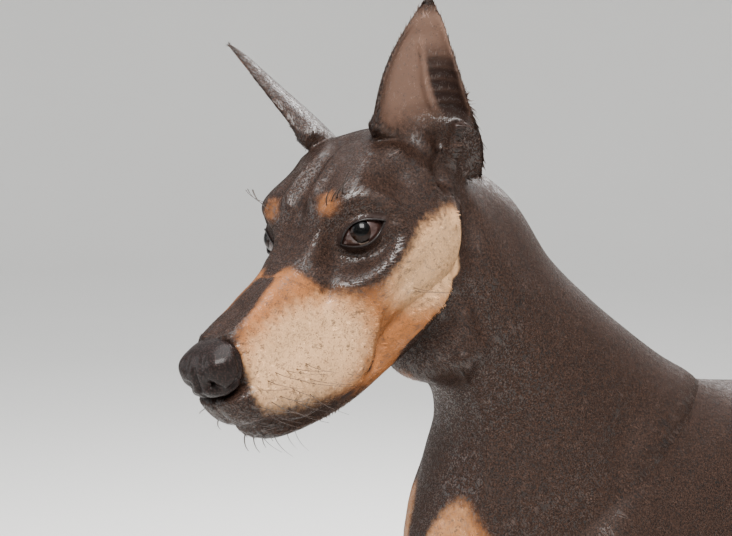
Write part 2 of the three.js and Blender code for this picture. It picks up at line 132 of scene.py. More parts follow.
# %% The camera
CAMERA_AT = np.array([719.1, -670.2, 865.3])
CAMERA_AZIMUTH, CAMERA_DOWN, CAMERA_LENS = 62.0, 5.0, 59.93
camera = bpy.data.objects.new("camera", bpy.data.cameras.new("camera"))
camera.data.lens = CAMERA_LENS
camera.data.sensor_width = 36.0
camera.data.clip_end = 100.0
camera.location = Vector(CAMERA_AT * MM + OFFSET)
camera.rotation_euler = Euler((math.radians(90 - CAMERA_DOWN), 0, math.radians(CAMERA_AZIMUTH)))
bpy.context.scene.collection.objects.link(camera)
bpy.context.scene.camera = camera
print("camera", round(float(np.linalg.norm(CAMERA_AT - HEAD_AT)) * MM, 2), "metres from the head")

# %% [markdown]
# Every rounded part is a sheet wrapped round a row of stations. A station says where the upper and
# lower line of the part run, half its width, how far up it is widest as a share of its height, and
# which way is across. A small grid from bmesh becomes the sheet: its long way follows the stations
# and its short way goes round them.

# %% Sheets wrapped round stations
LEFT = (1.0, 0.0, 0.0)
THINNEST = 0.4


def station(top, bottom, half, mid=0.5, side=LEFT):
    return [*top, *bottom, half, mid, *side]


def along_head(rows):
    """Stations from rows of forward, top, bottom, half width and widest place, down the head's middle."""
    return [
        station(from_head((f, 0, top)), from_head((f, 0, bottom)), half, mid, ACROSS_HEAD)
        for f, top, bottom, half, mid in rows
    ]


def run_through(rows, t):
    """Values that run smoothly through all rows as t goes from 0 to 1."""
    rows = np.asarray(rows, float)
    last = len(rows) - 1
    x = np.clip(t, 0, 1) * last
    i = np.minimum(x.astype(int), last - 1)
    f = (x - i)[:, None]
    before, here, after, beyond = (rows[np.clip(i + k, 0, last)] for k in (-1, 0, 1, 2))
    bend = 2 * before - 5 * here + 4 * after - beyond + f * (3 * (here - after) + beyond - before)
    return here + 0.5 * f * (after - before + f * bend)


def oval_at(stations, t, angle, square):
    """Where a sheet round the stations lies: t along them, angle round them."""
    values = run_through(stations, t)
    top, bottom, side = values[:, 0:3], values[:, 3:6], values[:, 8:11]
    half, mid = np.maximum(values[:, 6:7], THINNEST), values[:, 7:8]
    side = side / np.linalg.norm(side, axis=1, keepdims=True)
    centre = bottom + (top - bottom) * mid
    across, rise = np.cos(angle)[:, None], np.sin(angle)[:, None]
    across = np.sign(across) * np.abs(across) ** square
    height = np.where(rise > 0, top - centre, bottom - centre)
    return centre + side * half * across + height * np.abs(rise) ** square


def wrapped(name, place, rings, sides):
    """A closed object from a grid: place gives a point for t along and angle round."""
    bm = bmesh.new()
    bmesh.ops.create_grid(bm, x_segments=rings, y_segments=sides, size=1.0)
    flat = np.array([vert.co for vert in bm.verts])
    points = place((flat[:, 0] + 1) / 2, (flat[:, 1] + 1) * math.pi)
    for vert, point in zip(bm.verts, points):
        vert.co = point
    bmesh.ops.remove_doubles(bm, verts=bm.verts[:], dist=0.01)
    rims = [edge for edge in bm.edges if edge.is_boundary]
    bmesh.ops.holes_fill(bm, edges=rims, sides=0)
    bmesh.ops.recalc_face_normals(bm, faces=bm.faces[:])
    return finished(name, bm)


def finished(name, bm):
    """An object in the scene from a bmesh."""
    mesh = bpy.data.meshes.new(name)
    bm.to_mesh(mesh)
    bm.free()
    made = bpy.data.objects.new(name, mesh)
    bpy.context.scene.collection.objects.link(made)
    return made


def loft(name, stations, rings, sides, square=0.92):
    """A sheet round stations. A smaller square makes the section fuller at its corners."""
    return wrapped(name, lambda t, angle: oval_at(stations, t, angle, square), rings, sides)


# %% [markdown]
# The trunk is one form from the point of the breast to the seat: a level back, a brisket as low as
# the elbows and a belly that is tucked up behind the ribs. The neck rises from it and widens into
# the shoulders.

# %% Trunk, neck and tail
# Towards the tail, top, bottom, half width, widest place.
TRUNK = [
    (-266, 545, 495, 10, 0.5),
    (-258, 578, 462, 34, 0.5),
    (-236, 606, 432, 57, 0.5),
    (-200, 636, 402, 75, 0.5),
    (-150, 666, 374, 88, 0.52),
    (-90, 690, 356, 95, 0.52),
    (-30, 700, 347, 98, 0.5),
    (40, 691, 346, 101, 0.5),
    (120, 685, 355, 101, 0.52),
    (200, 683, 378, 92, 0.55),
    (270, 684, 414, 78, 0.6),
    (330, 686, 442, 76, 0.62),
    (380, 684, 456, 76, 0.62),
    (420, 672, 470, 66, 0.58),
    (447, 650, 496, 46, 0.5),
    (458, 625, 535, 18, 0.5),
]
NECK = [
    station((0, 20, 684), (0, -175, 440), 60),
    station((0, -15, 704), (0, -236, 520), 70),
    station((0, -45, 724), (0, -252, 588), 68),
    station((0, -76, 745), (2, -238, 638), 62, 0.48),
    station((0, -108, 768), (5, -228, 678), 56, 0.46),
    station((-3, -145, 801), (9, -238, 708), 52, 0.46),
    station((-6, -186, 850), (14, -266, 722), 50, 0.46, (0.97, 0.2, 0)),
    station(from_head((-112, 0, 34)), from_head((-48, 0, -74)), 47, 0.45, ACROSS_HEAD),
    station(from_head((-84, 0, 40)), from_head((-20, 0, -70)), 40, 0.45, ACROSS_HEAD),
]
TAIL_FROM = np.array([0.0, 436.0, 652.0])
TAIL_RISE = math.radians(42)
TAIL_ALONG = np.array([0.0, math.cos(TAIL_RISE), math.sin(TAIL_RISE)])
TAIL_OVER = np.array([0.0, -TAIL_ALONG[2], TAIL_ALONG[1]])
TAIL_RADII = [(-30, 20), (0, 19), (35, 15), (62, 12.5), (74, 9), (79, 3)]
TAIL = [
    station(TAIL_FROM + TAIL_ALONG * d + TAIL_OVER * r, TAIL_FROM + TAIL_ALONG * d - TAIL_OVER * r, r)
    for d, r in TAIL_RADII
]
trunk_stations = [station((0, y, top), (0, y, low), half, mid) for y, top, low, half, mid in TRUNK]
forms = [
    loft("trunk", trunk_stations, 90, 72, 0.9),
    loft("neck", NECK, 60, 60, 0.95),
    loft("tail", TAIL, 24, 20, 1.0),
]
print("trunk, neck and tail are shaped")

# %% [markdown]
# The head is a long blunt wedge: a flat skull, a slight stop in front of the eyes and a deep
# muzzle. The lower jaw is narrower than the lips, which hang over it and make the line of the mouth.

# %% Skull and lower jaw
SKULL = [
    (123, -17, -50, 11, 0.5),
    (118, -13, -61, 17, 0.4),
    (107, -9, -72, 21, 0.34),
    (92, -6, -80, 24, 0.32),
    (74, -3, -86, 26, 0.32),
    (52, 1, -89, 30, 0.36),
    (34, 7, -88, 35, 0.42),
    (20, 16, -82, 41, 0.48),
    (6, 29, -70, 46, 0.52),
    (-10, 40, -65, 50, 0.54),
    (-32, 48, -63, 54, 0.55),
    (-58, 52, -62, 55, 0.55),
    (-84, 50, -58, 52, 0.54),
    (-108, 43, -46, 45, 0.54),
    (-126, 30, -28, 33, 0.54),
    (-135, 12, -8, 14, 0.5),
]
JAW = [
    (110, -61, -67, 7, 0.5),
    (106, -58, -76, 14, 0.5),
    (95, -56, -85, 17, 0.5),
    (77, -56, -91, 18, 0.5),
    (54, -55, -95, 21, 0.5),
    (28, -50, -96, 27, 0.5),
    (0, -46, -91, 35, 0.5),
    (-28, -36, -86, 42, 0.5),
    (-56, -26, -74, 44, 0.5),
    (-76, -20, -56, 36, 0.5),
]


def upper_head(name):
    return loft(name, along_head(SKULL), 90, 72, 0.8)


def lower_head(name):
    return loft(name, along_head(JAW), 50, 48, 0.85)


forms += [upper_head("skull"), lower_head("lower_jaw_form")]
print("the head is", SKULL[0][0] - SKULL[-1][0], "mm long without its nose")

# %% [markdown]
# A cropped ear is a tall cup of thin leather that narrows to a point and opens forward and out. Its
# section is a crescent: round the back of the cup, and home along the inside.

# %% Ears
# Height up the ear, half the opening, depth of the cup, turn in degrees, set back.
EAR = [
    (-34, 33, 15, 40, 12),
    (-14, 37, 18, 41, 8),
    (6, 35.5, 18, 42, 3.5),
    (26, 31.5, 16, 43, 1.5),
    (46, 26, 13, 44, 0.5),
    (64, 19.5, 10, 45, 0),
    (79, 12.5, 7.5, 46, 0),
    (90, 6.5, 4.6, 46, -0.5),
    (96, 2.4, 2.2, 46, -1),
]
EAR_BASE, EAR_TIP = np.array([-74.0, 44.0, 38.0]), np.array([-66.0, 86.0, 126.0])
EAR_WALL = 3.6
EAR_SWEEP, EAR_SWEEP_WAY, EAR_LENGTH = 8, (0.55, -0.35, 0), 110
EAR_AXIS = (EAR_TIP - EAR_BASE) / np.linalg.norm(EAR_TIP - EAR_BASE)


def ear_frame(height):
    """Middle of the opening, its forward way and its outward way, at a height up the left ear."""
    along, chord, depth, turn, back = run_through(EAR, height).T
    sweep = EAR_SWEEP * np.sin(math.pi * np.clip(along, 0, EAR_LENGTH) / EAR_LENGTH)
    centre = EAR_BASE + along[:, None] * EAR_AXIS
    centre = centre + np.outer(sweep, EAR_SWEEP_WAY)
    turn = np.radians(turn)
    ahead = np.stack([np.cos(turn), -np.sin(turn), 0 * turn], -1)
    ahead = unit(ahead - (ahead @ EAR_AXIS)[:, None] * EAR_AXIS)
    outward = np.cross(EAR_AXIS, ahead)
    outward = outward * np.sign(outward[:, 1:2])
    return along, chord, depth, centre - ahead * back[:, None], ahead, outward


def ear_surface(side):
    """The sheet of one ear: round the back of the cup, and home along its inner wall."""

    def place(t, angle):
        along, chord, depth, centre, ahead, outward = ear_frame(t)
        opened = ramp(along, -5, 17)
        wall = depth * 1.55 * (1 - opened) + np.minimum(EAR_WALL, depth * 0.6) * opened
        back = angle <= math.pi
        a = np.where(back, angle, 2 * math.pi - angle)
        solid = np.clip((along - 72) / 20, 0, 1)
        wide = np.where(back, chord, np.maximum(chord - wall, chord * 0.5))
        deep = np.where(back, depth, (depth - wall) * (1 - solid))
        points = centre + ahead * (np.cos(a) * wide)[:, None] - outward * (np.sin(a) * deep)[:, None]
        points[:, 1] *= side
        return from_head(points)

    return place


forms += [wrapped("ear_form_%d" % side, ear_surface(side), 60, 64) for side in (1, -1)]
print(len(forms), "forms so far")

# %% [markdown]
# The front leg drops straight from the elbow to a slightly sloping pastern. The hind leg is bent at
# stifle and hock. Both end in a tight arched foot of four toes.

# %% Legs and paws
# Height, front edge, hind edge, place to the side, half width.
FORELEG = [
    (662, -28, 44, 40, 16),
    (620, -62, 50, 54, 26),
    (572, -106, 50, 64, 31),
    (520, -152, 38, 71, 32),
    (470, -184, 26, 75, 32),
    (430, -170, 24, 77, 31),
    (396, -126, 26, 77, 28),
    (366, -80, 26, 75, 25),
    (336, -61, 10, 73, 23),
    (290, -58, -5, 72, 20.5),
    (240, -53, -13, 70, 17),
    (200, -52, -16, 70, 15.5),
    (174, -56, -14, 70, 18),
    (150, -55, -12, 70, 17),
    (116, -58, -28, 70, 15),
    (82, -68, -35, 70, 17),
    (58, -84, -40, 70, 23),
    (38, -94, -43, 70, 28),
    (20, -94, -42, 70, 29),
    (4, -88, -46, 70, 24),
    (0.6, -78, -54, 70, 16),
]
HINDLEG = [
    (660, 326, 418, 34, 20),
    (612, 296, 448, 50, 37),
    (560, 284, 458, 62, 41),
    (508, 279, 454, 69, 40),
    (455, 285, 434, 74, 37),
    (415, 300, 418, 76, 33),
    (375, 328, 414, 77, 28),
    (325, 364, 434, 77, 22),
    (275, 400, 458, 77, 18),
    (232, 434, 486, 77, 15),
    (196, 454, 506, 77, 15),
    (168, 462, 504, 77, 16.5),
    (138, 464, 496, 77, 14.5),
    (100, 459, 490, 77, 13.5),
    (72, 450, 485, 77, 15),
    (54, 436, 480, 77, 21),
    (36, 426, 477, 77, 26),
    (20, 426, 478, 77, 27),
    (4, 432, 474, 77, 23),
    (0.6, 442, 466, 77, 15),
]
FORE_PAW, HIND_PAW = (70.0, -68.0), (77.0, 452.0)
# A toe from back to tip: place along it, top, bottom, half width.
TOE = [
    (22, 15, 1, 3),
    (13, 34, 1, 8),
    (-10, 48, 1, 10),
    (-34, 43, 1, 11),
    (-48, 31, 1, 10),
    (-57, 19, 3, 6),
]
# The four toes: place across the paw, set back, splay.
TOES = [(-24, 14, -0.16), (-9.5, 1, -0.05), (9.5, 0, 0.05), (24, 12, 0.16)]


def toe_at(toe, paw, forward, side):
    """Where a place along a toe lies from above."""
    across, back, splay = toe
    return side * (paw[0] + across - splay * forward), paw[1] + back + forward


def leg_forms(name, rows, paw, side):
    limb = [
        station((side * x, front, z), (side * x, back, z), half)
        for z, front, back, x, half in rows
    ]
    made = [loft(name, limb, 110, 48, 0.95)]
    for toe in TOES:
        knuckles = []
        for forward, top, bottom, half in TOE:
            x, y = toe_at(toe, paw, forward, side)
            knuckles.append(station((x, y, top), (x, y, bottom), half))
        made.append(loft(name + "_toe", knuckles, 26, 24, 0.95))
    return made


for side in (1, -1):
    forms += leg_forms("foreleg", FORELEG, FORE_PAW, side)
    forms += leg_forms("hindleg", HINDLEG, HIND_PAW, side)
print(len(forms), "forms in all")

# %% [markdown]
# On the dog the hide runs over everything in one piece. Each lid is a shell just over the eyeball,
# so two balls join the forms. A voxel remesh then melts all of them into one closed surface, and a
# few rounds of smoothing round off the creases where they meet.

# %% One skin from all forms
EYE_RADIUS = 11.6
LID_THICKNESS = 1.9
VOXEL = 1.6
SIDES = ((1, "left"), (-1, "right"))


def ball(name, centre, radius):
    bm = bmesh.new()
    bmesh.ops.create_uvsphere(bm, u_segments=40, v_segments=28, radius=radius)
    bmesh.ops.translate(bm, verts=bm.verts, vec=Vector(centre))
    return finished(name, bm)


def eye_centre(side):
    forward, left, up = EYE_AT
    return from_head((forward, side * left, up))


forms += [ball("lids", eye_centre(side), EYE_RADIUS + LID_THICKNESS) for side in (1, -1)]


def joined(name, objects):
    """One object from several."""
    with bpy.context.temp_override(active_object=objects[0], selected_editable_objects=objects):
        bpy.ops.object.join()
    objects[0].name = name
    return objects[0]


def with_modifier(piece, kind, **settings):
    """Applies one modifier to the mesh of a piece."""
    modifier = piece.modifiers.new(kind.lower(), kind)
    for key, value in settings.items():
        setattr(modifier, key, value)
    shown = piece.evaluated_get(bpy.context.evaluated_depsgraph_get())
    mesh = bpy.data.meshes.new_from_object(shown)
    piece.modifiers.clear()
    old = piece.data
    piece.data = mesh
    bpy.data.meshes.remove(old)


skin = joined("skin", forms)
with_modifier(skin, "REMESH", mode="VOXEL", voxel_size=VOXEL)
print("skin has", len(skin.data.polygons), "faces after the remesh")

# %% [markdown]
# The shaping is done on plain arrays: the points and normals are read from a mesh, worked on, and
# written back. Smoothing moves each point towards its neighbours and a little back again, so that
# the form keeps its size.

# %% Points, normals and smoothing
def points_of(piece):
    values = np.empty(len(piece.data.vertices) * 3)
    piece.data.vertices.foreach_get("co", values)
    return values.reshape(-1, 3)


def move_to(piece, points):
    piece.data.vertices.foreach_set("co", np.ascontiguousarray(points).ravel())
    piece.data.update()


def normals_of(piece):
    values = np.empty(len(piece.data.vertices) * 3)
    piece.data.vertex_normals.foreach_get("vector", values)
    return values.reshape(-1, 3)


def smoothed(piece, rounds, keep):
    """Evens out the surface. keep is 1 where a vertex stays and 0 where it moves freely."""
    edges = np.empty(len(piece.data.edges) * 2, np.int32)
    piece.data.edges.foreach_get("vertices", edges)
    a, b = edges.reshape(-1, 2).T
    points = points_of(piece)
    share = np.bincount(a, minlength=len(points)) + np.bincount(b, minlength=len(points))
    for step in range(rounds):
        for pull in (0.5, -0.52):
            total = np.zeros_like(points)
            for axis in range(3):
                total[:, axis] = np.bincount(a, points[b, axis], len(points))
                total[:, axis] += np.bincount(b, points[a, axis], len(points))
            points += (pull * (1 - keep))[:, None] * (total / share[:, None] - points)
    move_to(piece, points)


EARS_FROM, EARS_KEEP = 60, 0.4
on_ears = np.clip((to_head(points_of(skin))[:, 2] - EARS_FROM) / 10, 0, 1)
smoothed(skin, 6, on_ears * EARS_KEEP)

# %% [markdown]
# The remesh gives plain rounded flesh. Bone and muscle come next, as strokes of a soft round brush:
# a stroke follows a line of points over the skin, has a reach, and lifts the surface or presses it
# in. Strokes for the head are given for its left side and repeated on the right.

# %% Strokes that model flesh
def nearness(points, line):
    """Distance from each point to a line of points."""
    line = np.asarray(line, float).reshape(-1, 3)
    if len(line) == 1:
        return np.linalg.norm(points - line[0], axis=1)
    best = np.full(len(points), np.inf)
    for start, end in zip(line[:-1], line[1:]):
        way = end - start
        share = np.clip((points - start) @ way / (way @ way), 0, 1)
        best = np.minimum(best, np.linalg.norm(points - start - share[:, None] * way, axis=1))
    return best


def curved(line, steps=5):
    """A smooth line through a few points."""
    line = np.asarray(line, float).reshape(-1, 3)
    return line if len(line) < 3 else run_through(line, np.linspace(0, 1, steps * len(line)))


def brushed(points, normals, strokes, mirrored=True):
    """Moves the points along their normals by every stroke in turn."""
    lift = np.zeros(len(points))
    for height, reach, *line in strokes:
        path = curved(line)
        for side in (1, -1) if mirrored else (1,):
            there = path * (1, side, 1)
            near = np.all((points > there.min(0) - 3 * reach) & (points < there.max(0) + 3 * reach), axis=1)
            lift[near] += height * np.exp(-((nearness(points[near], there) / reach) ** 2))
    return points + normals * lift[:, None]


# %% [markdown]
# These are the bones and folds of the head. Each stroke is a height, a reach, and the points of its
# line: forward, left, up. The last list lies on the middle line.

# %% Strokes of the head
BONES = [
    # Brow, hollows round the eye, cheekbone, jaw muscle and temple.
    (5, 15, (4, 27, 31)),
    (3, 14, (-14, 38, 30)),
    (-6, 13, (14, 33, 6)),
    (-4, 17, (40, 34, -16)),
    (4, 20, (-16, 50, -12)),
    (4, 20, (-50, 54, -4)),
    (5, 26, (-46, 52, -42)),
    (-4, 20, (-40, 48, 26)),
    (3, 18, (74, 27, -62)),
    (3, 15, (36, 32, -74)),
    # Edge of the bridge, side of the muzzle, and roots of the whiskers.
    (1.4, 5, (108, 11, -13), (84, 13, -7), (58, 14, 0), (36, 16, 8)),
    (-1.6, 10, (84, 24, -36), (60, 27, -36), (44, 32, -40)),
    (2.0, 12, (100, 21, -50), (86, 24, -57)),
    # Tear line, arch of the cheekbone, hollow under it, and corner of the mouth.
    (-2.0, 4.5, (20, 28, -3), (30, 30, -12), (42, 31, -22)),
    (1.3, 9, (26, 34, -16), (8, 44, -18), (-14, 52, -14), (-40, 55, -8)),
    (-1.8, 9, (14, 42, -36), (-6, 50, -34), (-24, 54, -30)),
    (-1.8, 6, (14, 36, -58), (2, 46, -46), (-8, 50, -38)),
    # Arch of the brow, side of the forehead, temple, and fold in front of the ear.
    (1.6, 6, (22, 18, 20), (10, 29, 29), (-4, 39, 28), (-16, 47, 18)),
    (1.8, 7, (6, 9, 32), (-20, 13, 47), (-46, 18, 55), (-66, 26, 54)),
    (-2.2, 9, (-22, 40, 30), (-36, 46, 28)),
    (1.8, 12, (-44, 36, 46), (-58, 34, 52)),
    (1.8, 6, (-50, 34, 58), (-50, 43, 36), (-58, 52, 18)),
    # Groove behind the jaw, hind edge of the cheek, and roll of the throat.
    (-3.5, 8, (-90, 50, -6), (-86, 50, -30), (-80, 47, -54), (-58, 38, -76), (-36, 30, -86)),
    (1.8, 9, (-72, 53, -16), (-68, 52, -40), (-48, 46, -60)),
    (2.2, 9, (-90, 52, -44), (-98, 60, -84), (-80, 54, -104), (-60, 44, -108)),
    # Folds of the forehead.
    (2.2, 3.6, (6, 10, 31), (-14, 7, 43), (-34, 7, 51), (-48, 15, 56), (-52, 28, 58)),
    (-2.0, 3.6, (4, 4, 33), (-20, 2, 46), (-42, 3, 53), (-58, 14, 56)),
    (-1.6, 4.0, (0, 18, 34), (-16, 17, 46), (-34, 18, 53)),
    # Notch, rim and fold at the foot of the ear.
    (-9, 8, (-80, 56, 36), (-77, 57, 26), (-73, 56, 15)),
    (3.0, 3.6, (-92, 58, 40), (-86, 59, 24), (-77, 58, 8), (-69, 57, -4), (-64, 55, -14)),
    (-2.0, 4.0, (-98, 54, 22), (-90, 54, 4), (-80, 54, -10)),
]
MIDDLE = [
    # Stop, top of the skull, bridge, furrow of the forehead, and slit of the lip.
    (-2.5, 15, (22, 0, 16)),
    (-2.0, 13, (-8, 0, 46)),
    (-0.9, 4, (112, 0, -10), (80, 0, -3), (50, 0, 2)),
    (-3.2, 12, (118, 0, -12), (100, 0, -8), (84, 0, -4)),
    (-2.0, 5, (18, 0, 22), (2, 0, 36), (-24, 0, 49), (-54, 0, 53)),
    (-1.6, 1.7, (124, 0, -40), (121, 0, -50), (117, 0, -60)),
]

# %% [markdown]
# Inside the ear a ridge runs up the cup, and short folds cross the hollow behind it. Their strokes
# are placed by height up the ear and by place across it.

# %% Strokes inside the ears
EAR_HEIGHTS = [row[0] for row in EAR]


def ear_point(height, across):
    """A point on the inner wall of the left ear. across runs from -1 behind to 1 ahead."""
    row = np.interp([height], EAR_HEIGHTS, np.linspace(0, 1, len(EAR)))
    along, chord, depth, centre, ahead, outward = ear_frame(row)
    deep = math.sqrt(1 - across**2) * (depth[0] - EAR_WALL)
    return (centre + ahead * across * (chord[0] - EAR_WALL) - outward * deep)[0]


EAR_RIDGE = [(66, -0.05), (54, -0.14), (40, -0.2), (26, -0.26), (14, -0.34), (4, -0.46)]
EAR_BARS = [12, 21, 30, 39, 48, 56]
# Points along the rim of each ear's cup, where a painted highlight is laid in the inner skin's colour.
EAR_RIM_HIGHLIGHT = [ear_point(height, -0.98) for height in (72, 50, 30, 12)]
EAR_STROKES = [(1.9, 2.0, *[ear_point(height, across) for height, across in EAR_RIDGE])]
EAR_STROKES += [
    (0.55, 1.8, ear_point(height, -0.4), ear_point(height + 1, -0.62), ear_point(height + 2, -0.84))
    for height in EAR_BARS
]


def head_brushed(piece, strokes, mirrored=True):
    """Brushes a piece with strokes given in the head's frame."""
    points = to_head(points_of(piece))
    outward = normals_of(piece) @ HEAD_TURNED
    outward = np.stack([-outward[:, 1], outward[:, 0], outward[:, 2]], -1)
    move_to(piece, from_head(brushed(points, outward, strokes, mirrored)))


head_brushed(skin, BONES + EAR_STROKES)
head_brushed(skin, MIDDLE, mirrored=False)

# %% [markdown]
# A short coat hides nothing of the body: the shoulder blade, the triceps, the ribs, the hip, the
# stifle and the tendons of the lower legs all show. The strokes for the body are in the dog's
# frame: to its left, towards its tail, and up. Ribs and tendons repeat, so loops make them.

# %% Muscles and bones of the body
BODY = [
    # Shoulder blade, hollows before and behind it, and elbow.
    (2.5, 14, (48, -30, 655), (70, -80, 590), (80, -120, 530)),
    (-3.0, 14, (62, -110, 690), (84, -160, 600), (84, -190, 530)),
    (-5.0, 12, (100, 12, 570), (102, 6, 500), (92, -6, 440)),
    (4.0, 12, (92, 10, 425)),
    (-3.0, 12, (100, -110, 520), (96, -90, 470)),
    # Flank, hip, thigh and stifle.
    (-6.0, 30, (84, 250, 560), (72, 272, 500)),
    (4.0, 14, (48, 300, 676)),
    (-3.0, 14, (106, 400, 600), (104, 405, 520), (98, 395, 440)),
    (3.0, 14, (104, 305, 420)),
    # Hollows in front of the hock's tendon, forearm, and pad of the wrist.
    (-3.0, 9, (94, 425, 300), (91, 440, 255), (90, 455, 215)),
    (-3.0, 9, (62, 425, 300), (64, 440, 255), (65, 455, 215)),
    (-2.0, 9, (96, -60, 400), (92, -50, 330), (86, -40, 280)),
    (2.5, 8, (70, -10, 190)),
    # Breast and line of the back.
    (-4.0, 12, (0, -264, 510), (0, -244, 440)),
    (3.0, 18, (30, -258, 540), (34, -240, 470)),
    (-2.0, 10, (0, -60, 700), (0, 150, 690), (0, 330, 690)),
    # Muscle and groove of the neck, its join with the shoulders, and ridge of the throat.
    (3.0, 16, (46, -236, 838), (60, -190, 760), (76, -150, 680), (88, -130, 600)),
    (-5.0, 9, (54, -236, 776), (62, -214, 720), (72, -200, 650), (70, -222, 590)),
    (5.0, 20, (26, -20, 702), (50, -62, 684), (64, -96, 656)),
    (3.0, 24, (70, -120, 632), (76, -170, 585)),
    (4.2, 5.5, (47, -242, 736), (42, -222, 691), (46, -222, 650), (46, -240, 600)),
]
RIBS = [
    (0.9, 8, (90, first, 630), (102, first - 18, 520), (88, first - 30, 420))
    for first in range(0, 240, 32)
]
TENDONS = [
    (0.9, 3, (x, front + 2, 160), (x, front - 6, 110), (x + (x - middle) * 0.8, front - 24, 66))
    for middle, front in ((70, -56), (77, 462))
    for x in (middle - 8, middle, middle + 8)
]


def body_brushed(piece, strokes):
    """Brushes both sides of a piece. The brush mirrors its second value, so left goes there."""
    swapped = [[height, reach, *[(y, x, z) for x, y, z in line]] for height, reach, *line in strokes]
    points = brushed(points_of(piece)[:, [1, 0, 2]], normals_of(piece)[:, [1, 0, 2]], swapped)
    move_to(piece, points[:, [1, 0, 2]])


body_brushed(skin, BODY + RIBS + TENDONS)
print("flesh is modelled with", len(BONES + MIDDLE + BODY + RIBS + TENDONS), "strokes")

# %% [markdown]
# The lips hang over the lower jaw, and the line between them is the mouth. It lies where the skin
# is close to both the upper and the lower form, so the crease needs no points of its own: it is
# pressed in wherever the two are near each other.

# %% Line of the mouth
MOUTH_DEPTH, MOUTH_WIDTH = 2.6, 2.6
MOUTH_BOX = ((8, -45, -100), (118, 45, -55))
FAR_AWAY = 99.0


def tree_of(piece):
    points = points_of(piece)
    return BVHTree.FromPolygons(points.tolist(), [list(face.vertices) for face in piece.data.polygons])


upper_form = tree_of(upper_head("upper_form"))
lower_form = tree_of(lower_head("lower_form"))


def distance_to(tree, points, reach=12.0):
    found = (tree.find_nearest(Vector(point), reach) for point in points)
    return np.array([reach if hit[3] is None else hit[3] for hit in found])


def mouth_gap(points):
    """How far each point lies from the line of the mouth."""
    on_head = to_head(points)
    gap = np.full(len(points), FAR_AWAY)
    near = np.all((on_head > MOUTH_BOX[0]) & (on_head < MOUTH_BOX[1]), axis=1)
    gap[near] = distance_to(upper_form, points[near]) + distance_to(lower_form, points[near])
    return gap


skin_points = points_of(skin)
crease = np.exp(-((mouth_gap(skin_points) / MOUTH_WIDTH) ** 2))
move_to(skin, skin_points - normals_of(skin) * (crease * MOUTH_DEPTH)[:, None])
for spare in ("upper_form", "lower_form"):
    bpy.data.objects.remove(bpy.data.objects[spare])
print("the mouth presses in", int((crease > 0.5).sum()), "points")

# %% [markdown]
# The lids lie on the eyeball. Round each eye the skin is drawn onto a dome a little larger than the
# ball, and the dome fades into the brow and the cheek. All of it is worked out in the eye's own
# frame: across, into the head, and up.

# %% Lids on the eyeball
EYE_OUT, EYE_RISE = 38.0, 12.0
LID_RADIUS = 13.2
DOME_REACH, DOME_FADE, DOME_LONG = 9.5, 3.2, 0.84
EYE_LONG, EYE_HIGH = 15.4, 9.6
EYE_SHIFT, EYE_LIFT = 2.0, 1.0
LID_REACH, LIDS_FULL, LIDS_END = (19, 13), 0.75, 1.85
FRONT_OF_EYE = 4


def eye_turned(side):
    """The way an eye faces, as a rotation."""
    return HEAD_TURNED @ turned("Z", side * EYE_OUT) @ turned("Y", -side * EYE_RISE)


def to_eye(points, side):
    return (points - eye_centre(side)) @ eye_turned(side)


def from_eye(points, side):
    return eye_centre(side) + np.asarray(points) @ eye_turned(side).T


def lid_depth(across, up, radius=LID_RADIUS):
    """How far the dome of the lids lies in front of the middle of the eye."""
    r = np.hypot(across * DOME_LONG, up)
    slope = DOME_REACH / math.sqrt(radius**2 - DOME_REACH**2)
    dome = np.sqrt(np.maximum(radius**2 - np.minimum(r, DOME_REACH) ** 2, 0))
    return dome - slope * DOME_FADE * (1 - np.exp(-np.maximum(r - DOME_REACH, 0) / DOME_FADE))


def almond(share, side, grow=1.0):
    """A point on the edge of the eye opening. share runs once round it."""
    share = share % 1.0
    upper = share < 0.5
    t = share * 2 if upper else 2 - share * 2
    peak = (-0.2 * EYE_LONG, 1.75 * EYE_HIGH) if upper else (0.1 * EYE_LONG, -1.35 * EYE_HIGH)
    across = -EYE_LONG * (1 - t) ** 2 + 2 * t * (1 - t) * peak[0] + EYE_LONG * t * t
    return np.array([side * (across + EYE_SHIFT), 2 * t * (1 - t) * peak[1] + EYE_LIFT]) * grow


for side in (1, -1):
    skin_points = points_of(skin)
    in_eye = to_eye(skin_points, side)
    ring = np.hypot(in_eye[:, 0] / LID_REACH[0], in_eye[:, 2] / LID_REACH[1])
    hold = ramp(-ring, -LIDS_END, -LIDS_FULL) * (in_eye[:, 1] < FRONT_OF_EYE)
    depth = -lid_depth(in_eye[:, 0], in_eye[:, 2])
    in_eye[:, 1] += hold * (depth - in_eye[:, 1])
    moved = hold > 0
    skin_points[moved] = from_eye(in_eye[moved], side)
    move_to(skin, skin_points)

LID_FOLDS = [
    (-1.6, 3.0, (18, 25, 13), (8, 37, 17), (-4, 45, 14), (-12, 50, 8)),
    (1.0, 2.6, (17, 26, 9), (8, 37, 13), (-4, 45, 10)),
    (-1.1, 2.6, (17, 29, -8), (9, 38, -10), (-2, 46, -7), (-12, 51, -1)),
]
head_brushed(skin, LID_FOLDS)
smoothed(skin, 2, np.zeros(len(skin.data.vertices)))
print("the lids lie", round(LID_RADIUS - EYE_RADIUS, 1), "mm over the eyeball")

# %% [markdown]
# The skin must lie inside the solids by the depth of the coat, so it is drawn in a little along its
# normals: less on the face, the ears and the feet, where the hair is shortest. Then the faces are
# thinned out where the surface is plain, and kept where the head needs them.

# %% Depth of the coat and number of faces
COAT_DEPTH_BODY, COAT_DEPTH_FACE = 1.3, 0.5
ABOVE_FLOOR = 0.4
SKIN_TRIANGLES = 190000


def headness(points):
    """1 on the face and ears, 0 from the neck back."""
    forward, left, up = to_head(points).T
    return ramp(forward + 0.25 * np.maximum(up, 0), -96, -66) * ramp(up - 0.35 * forward, -110, -80)


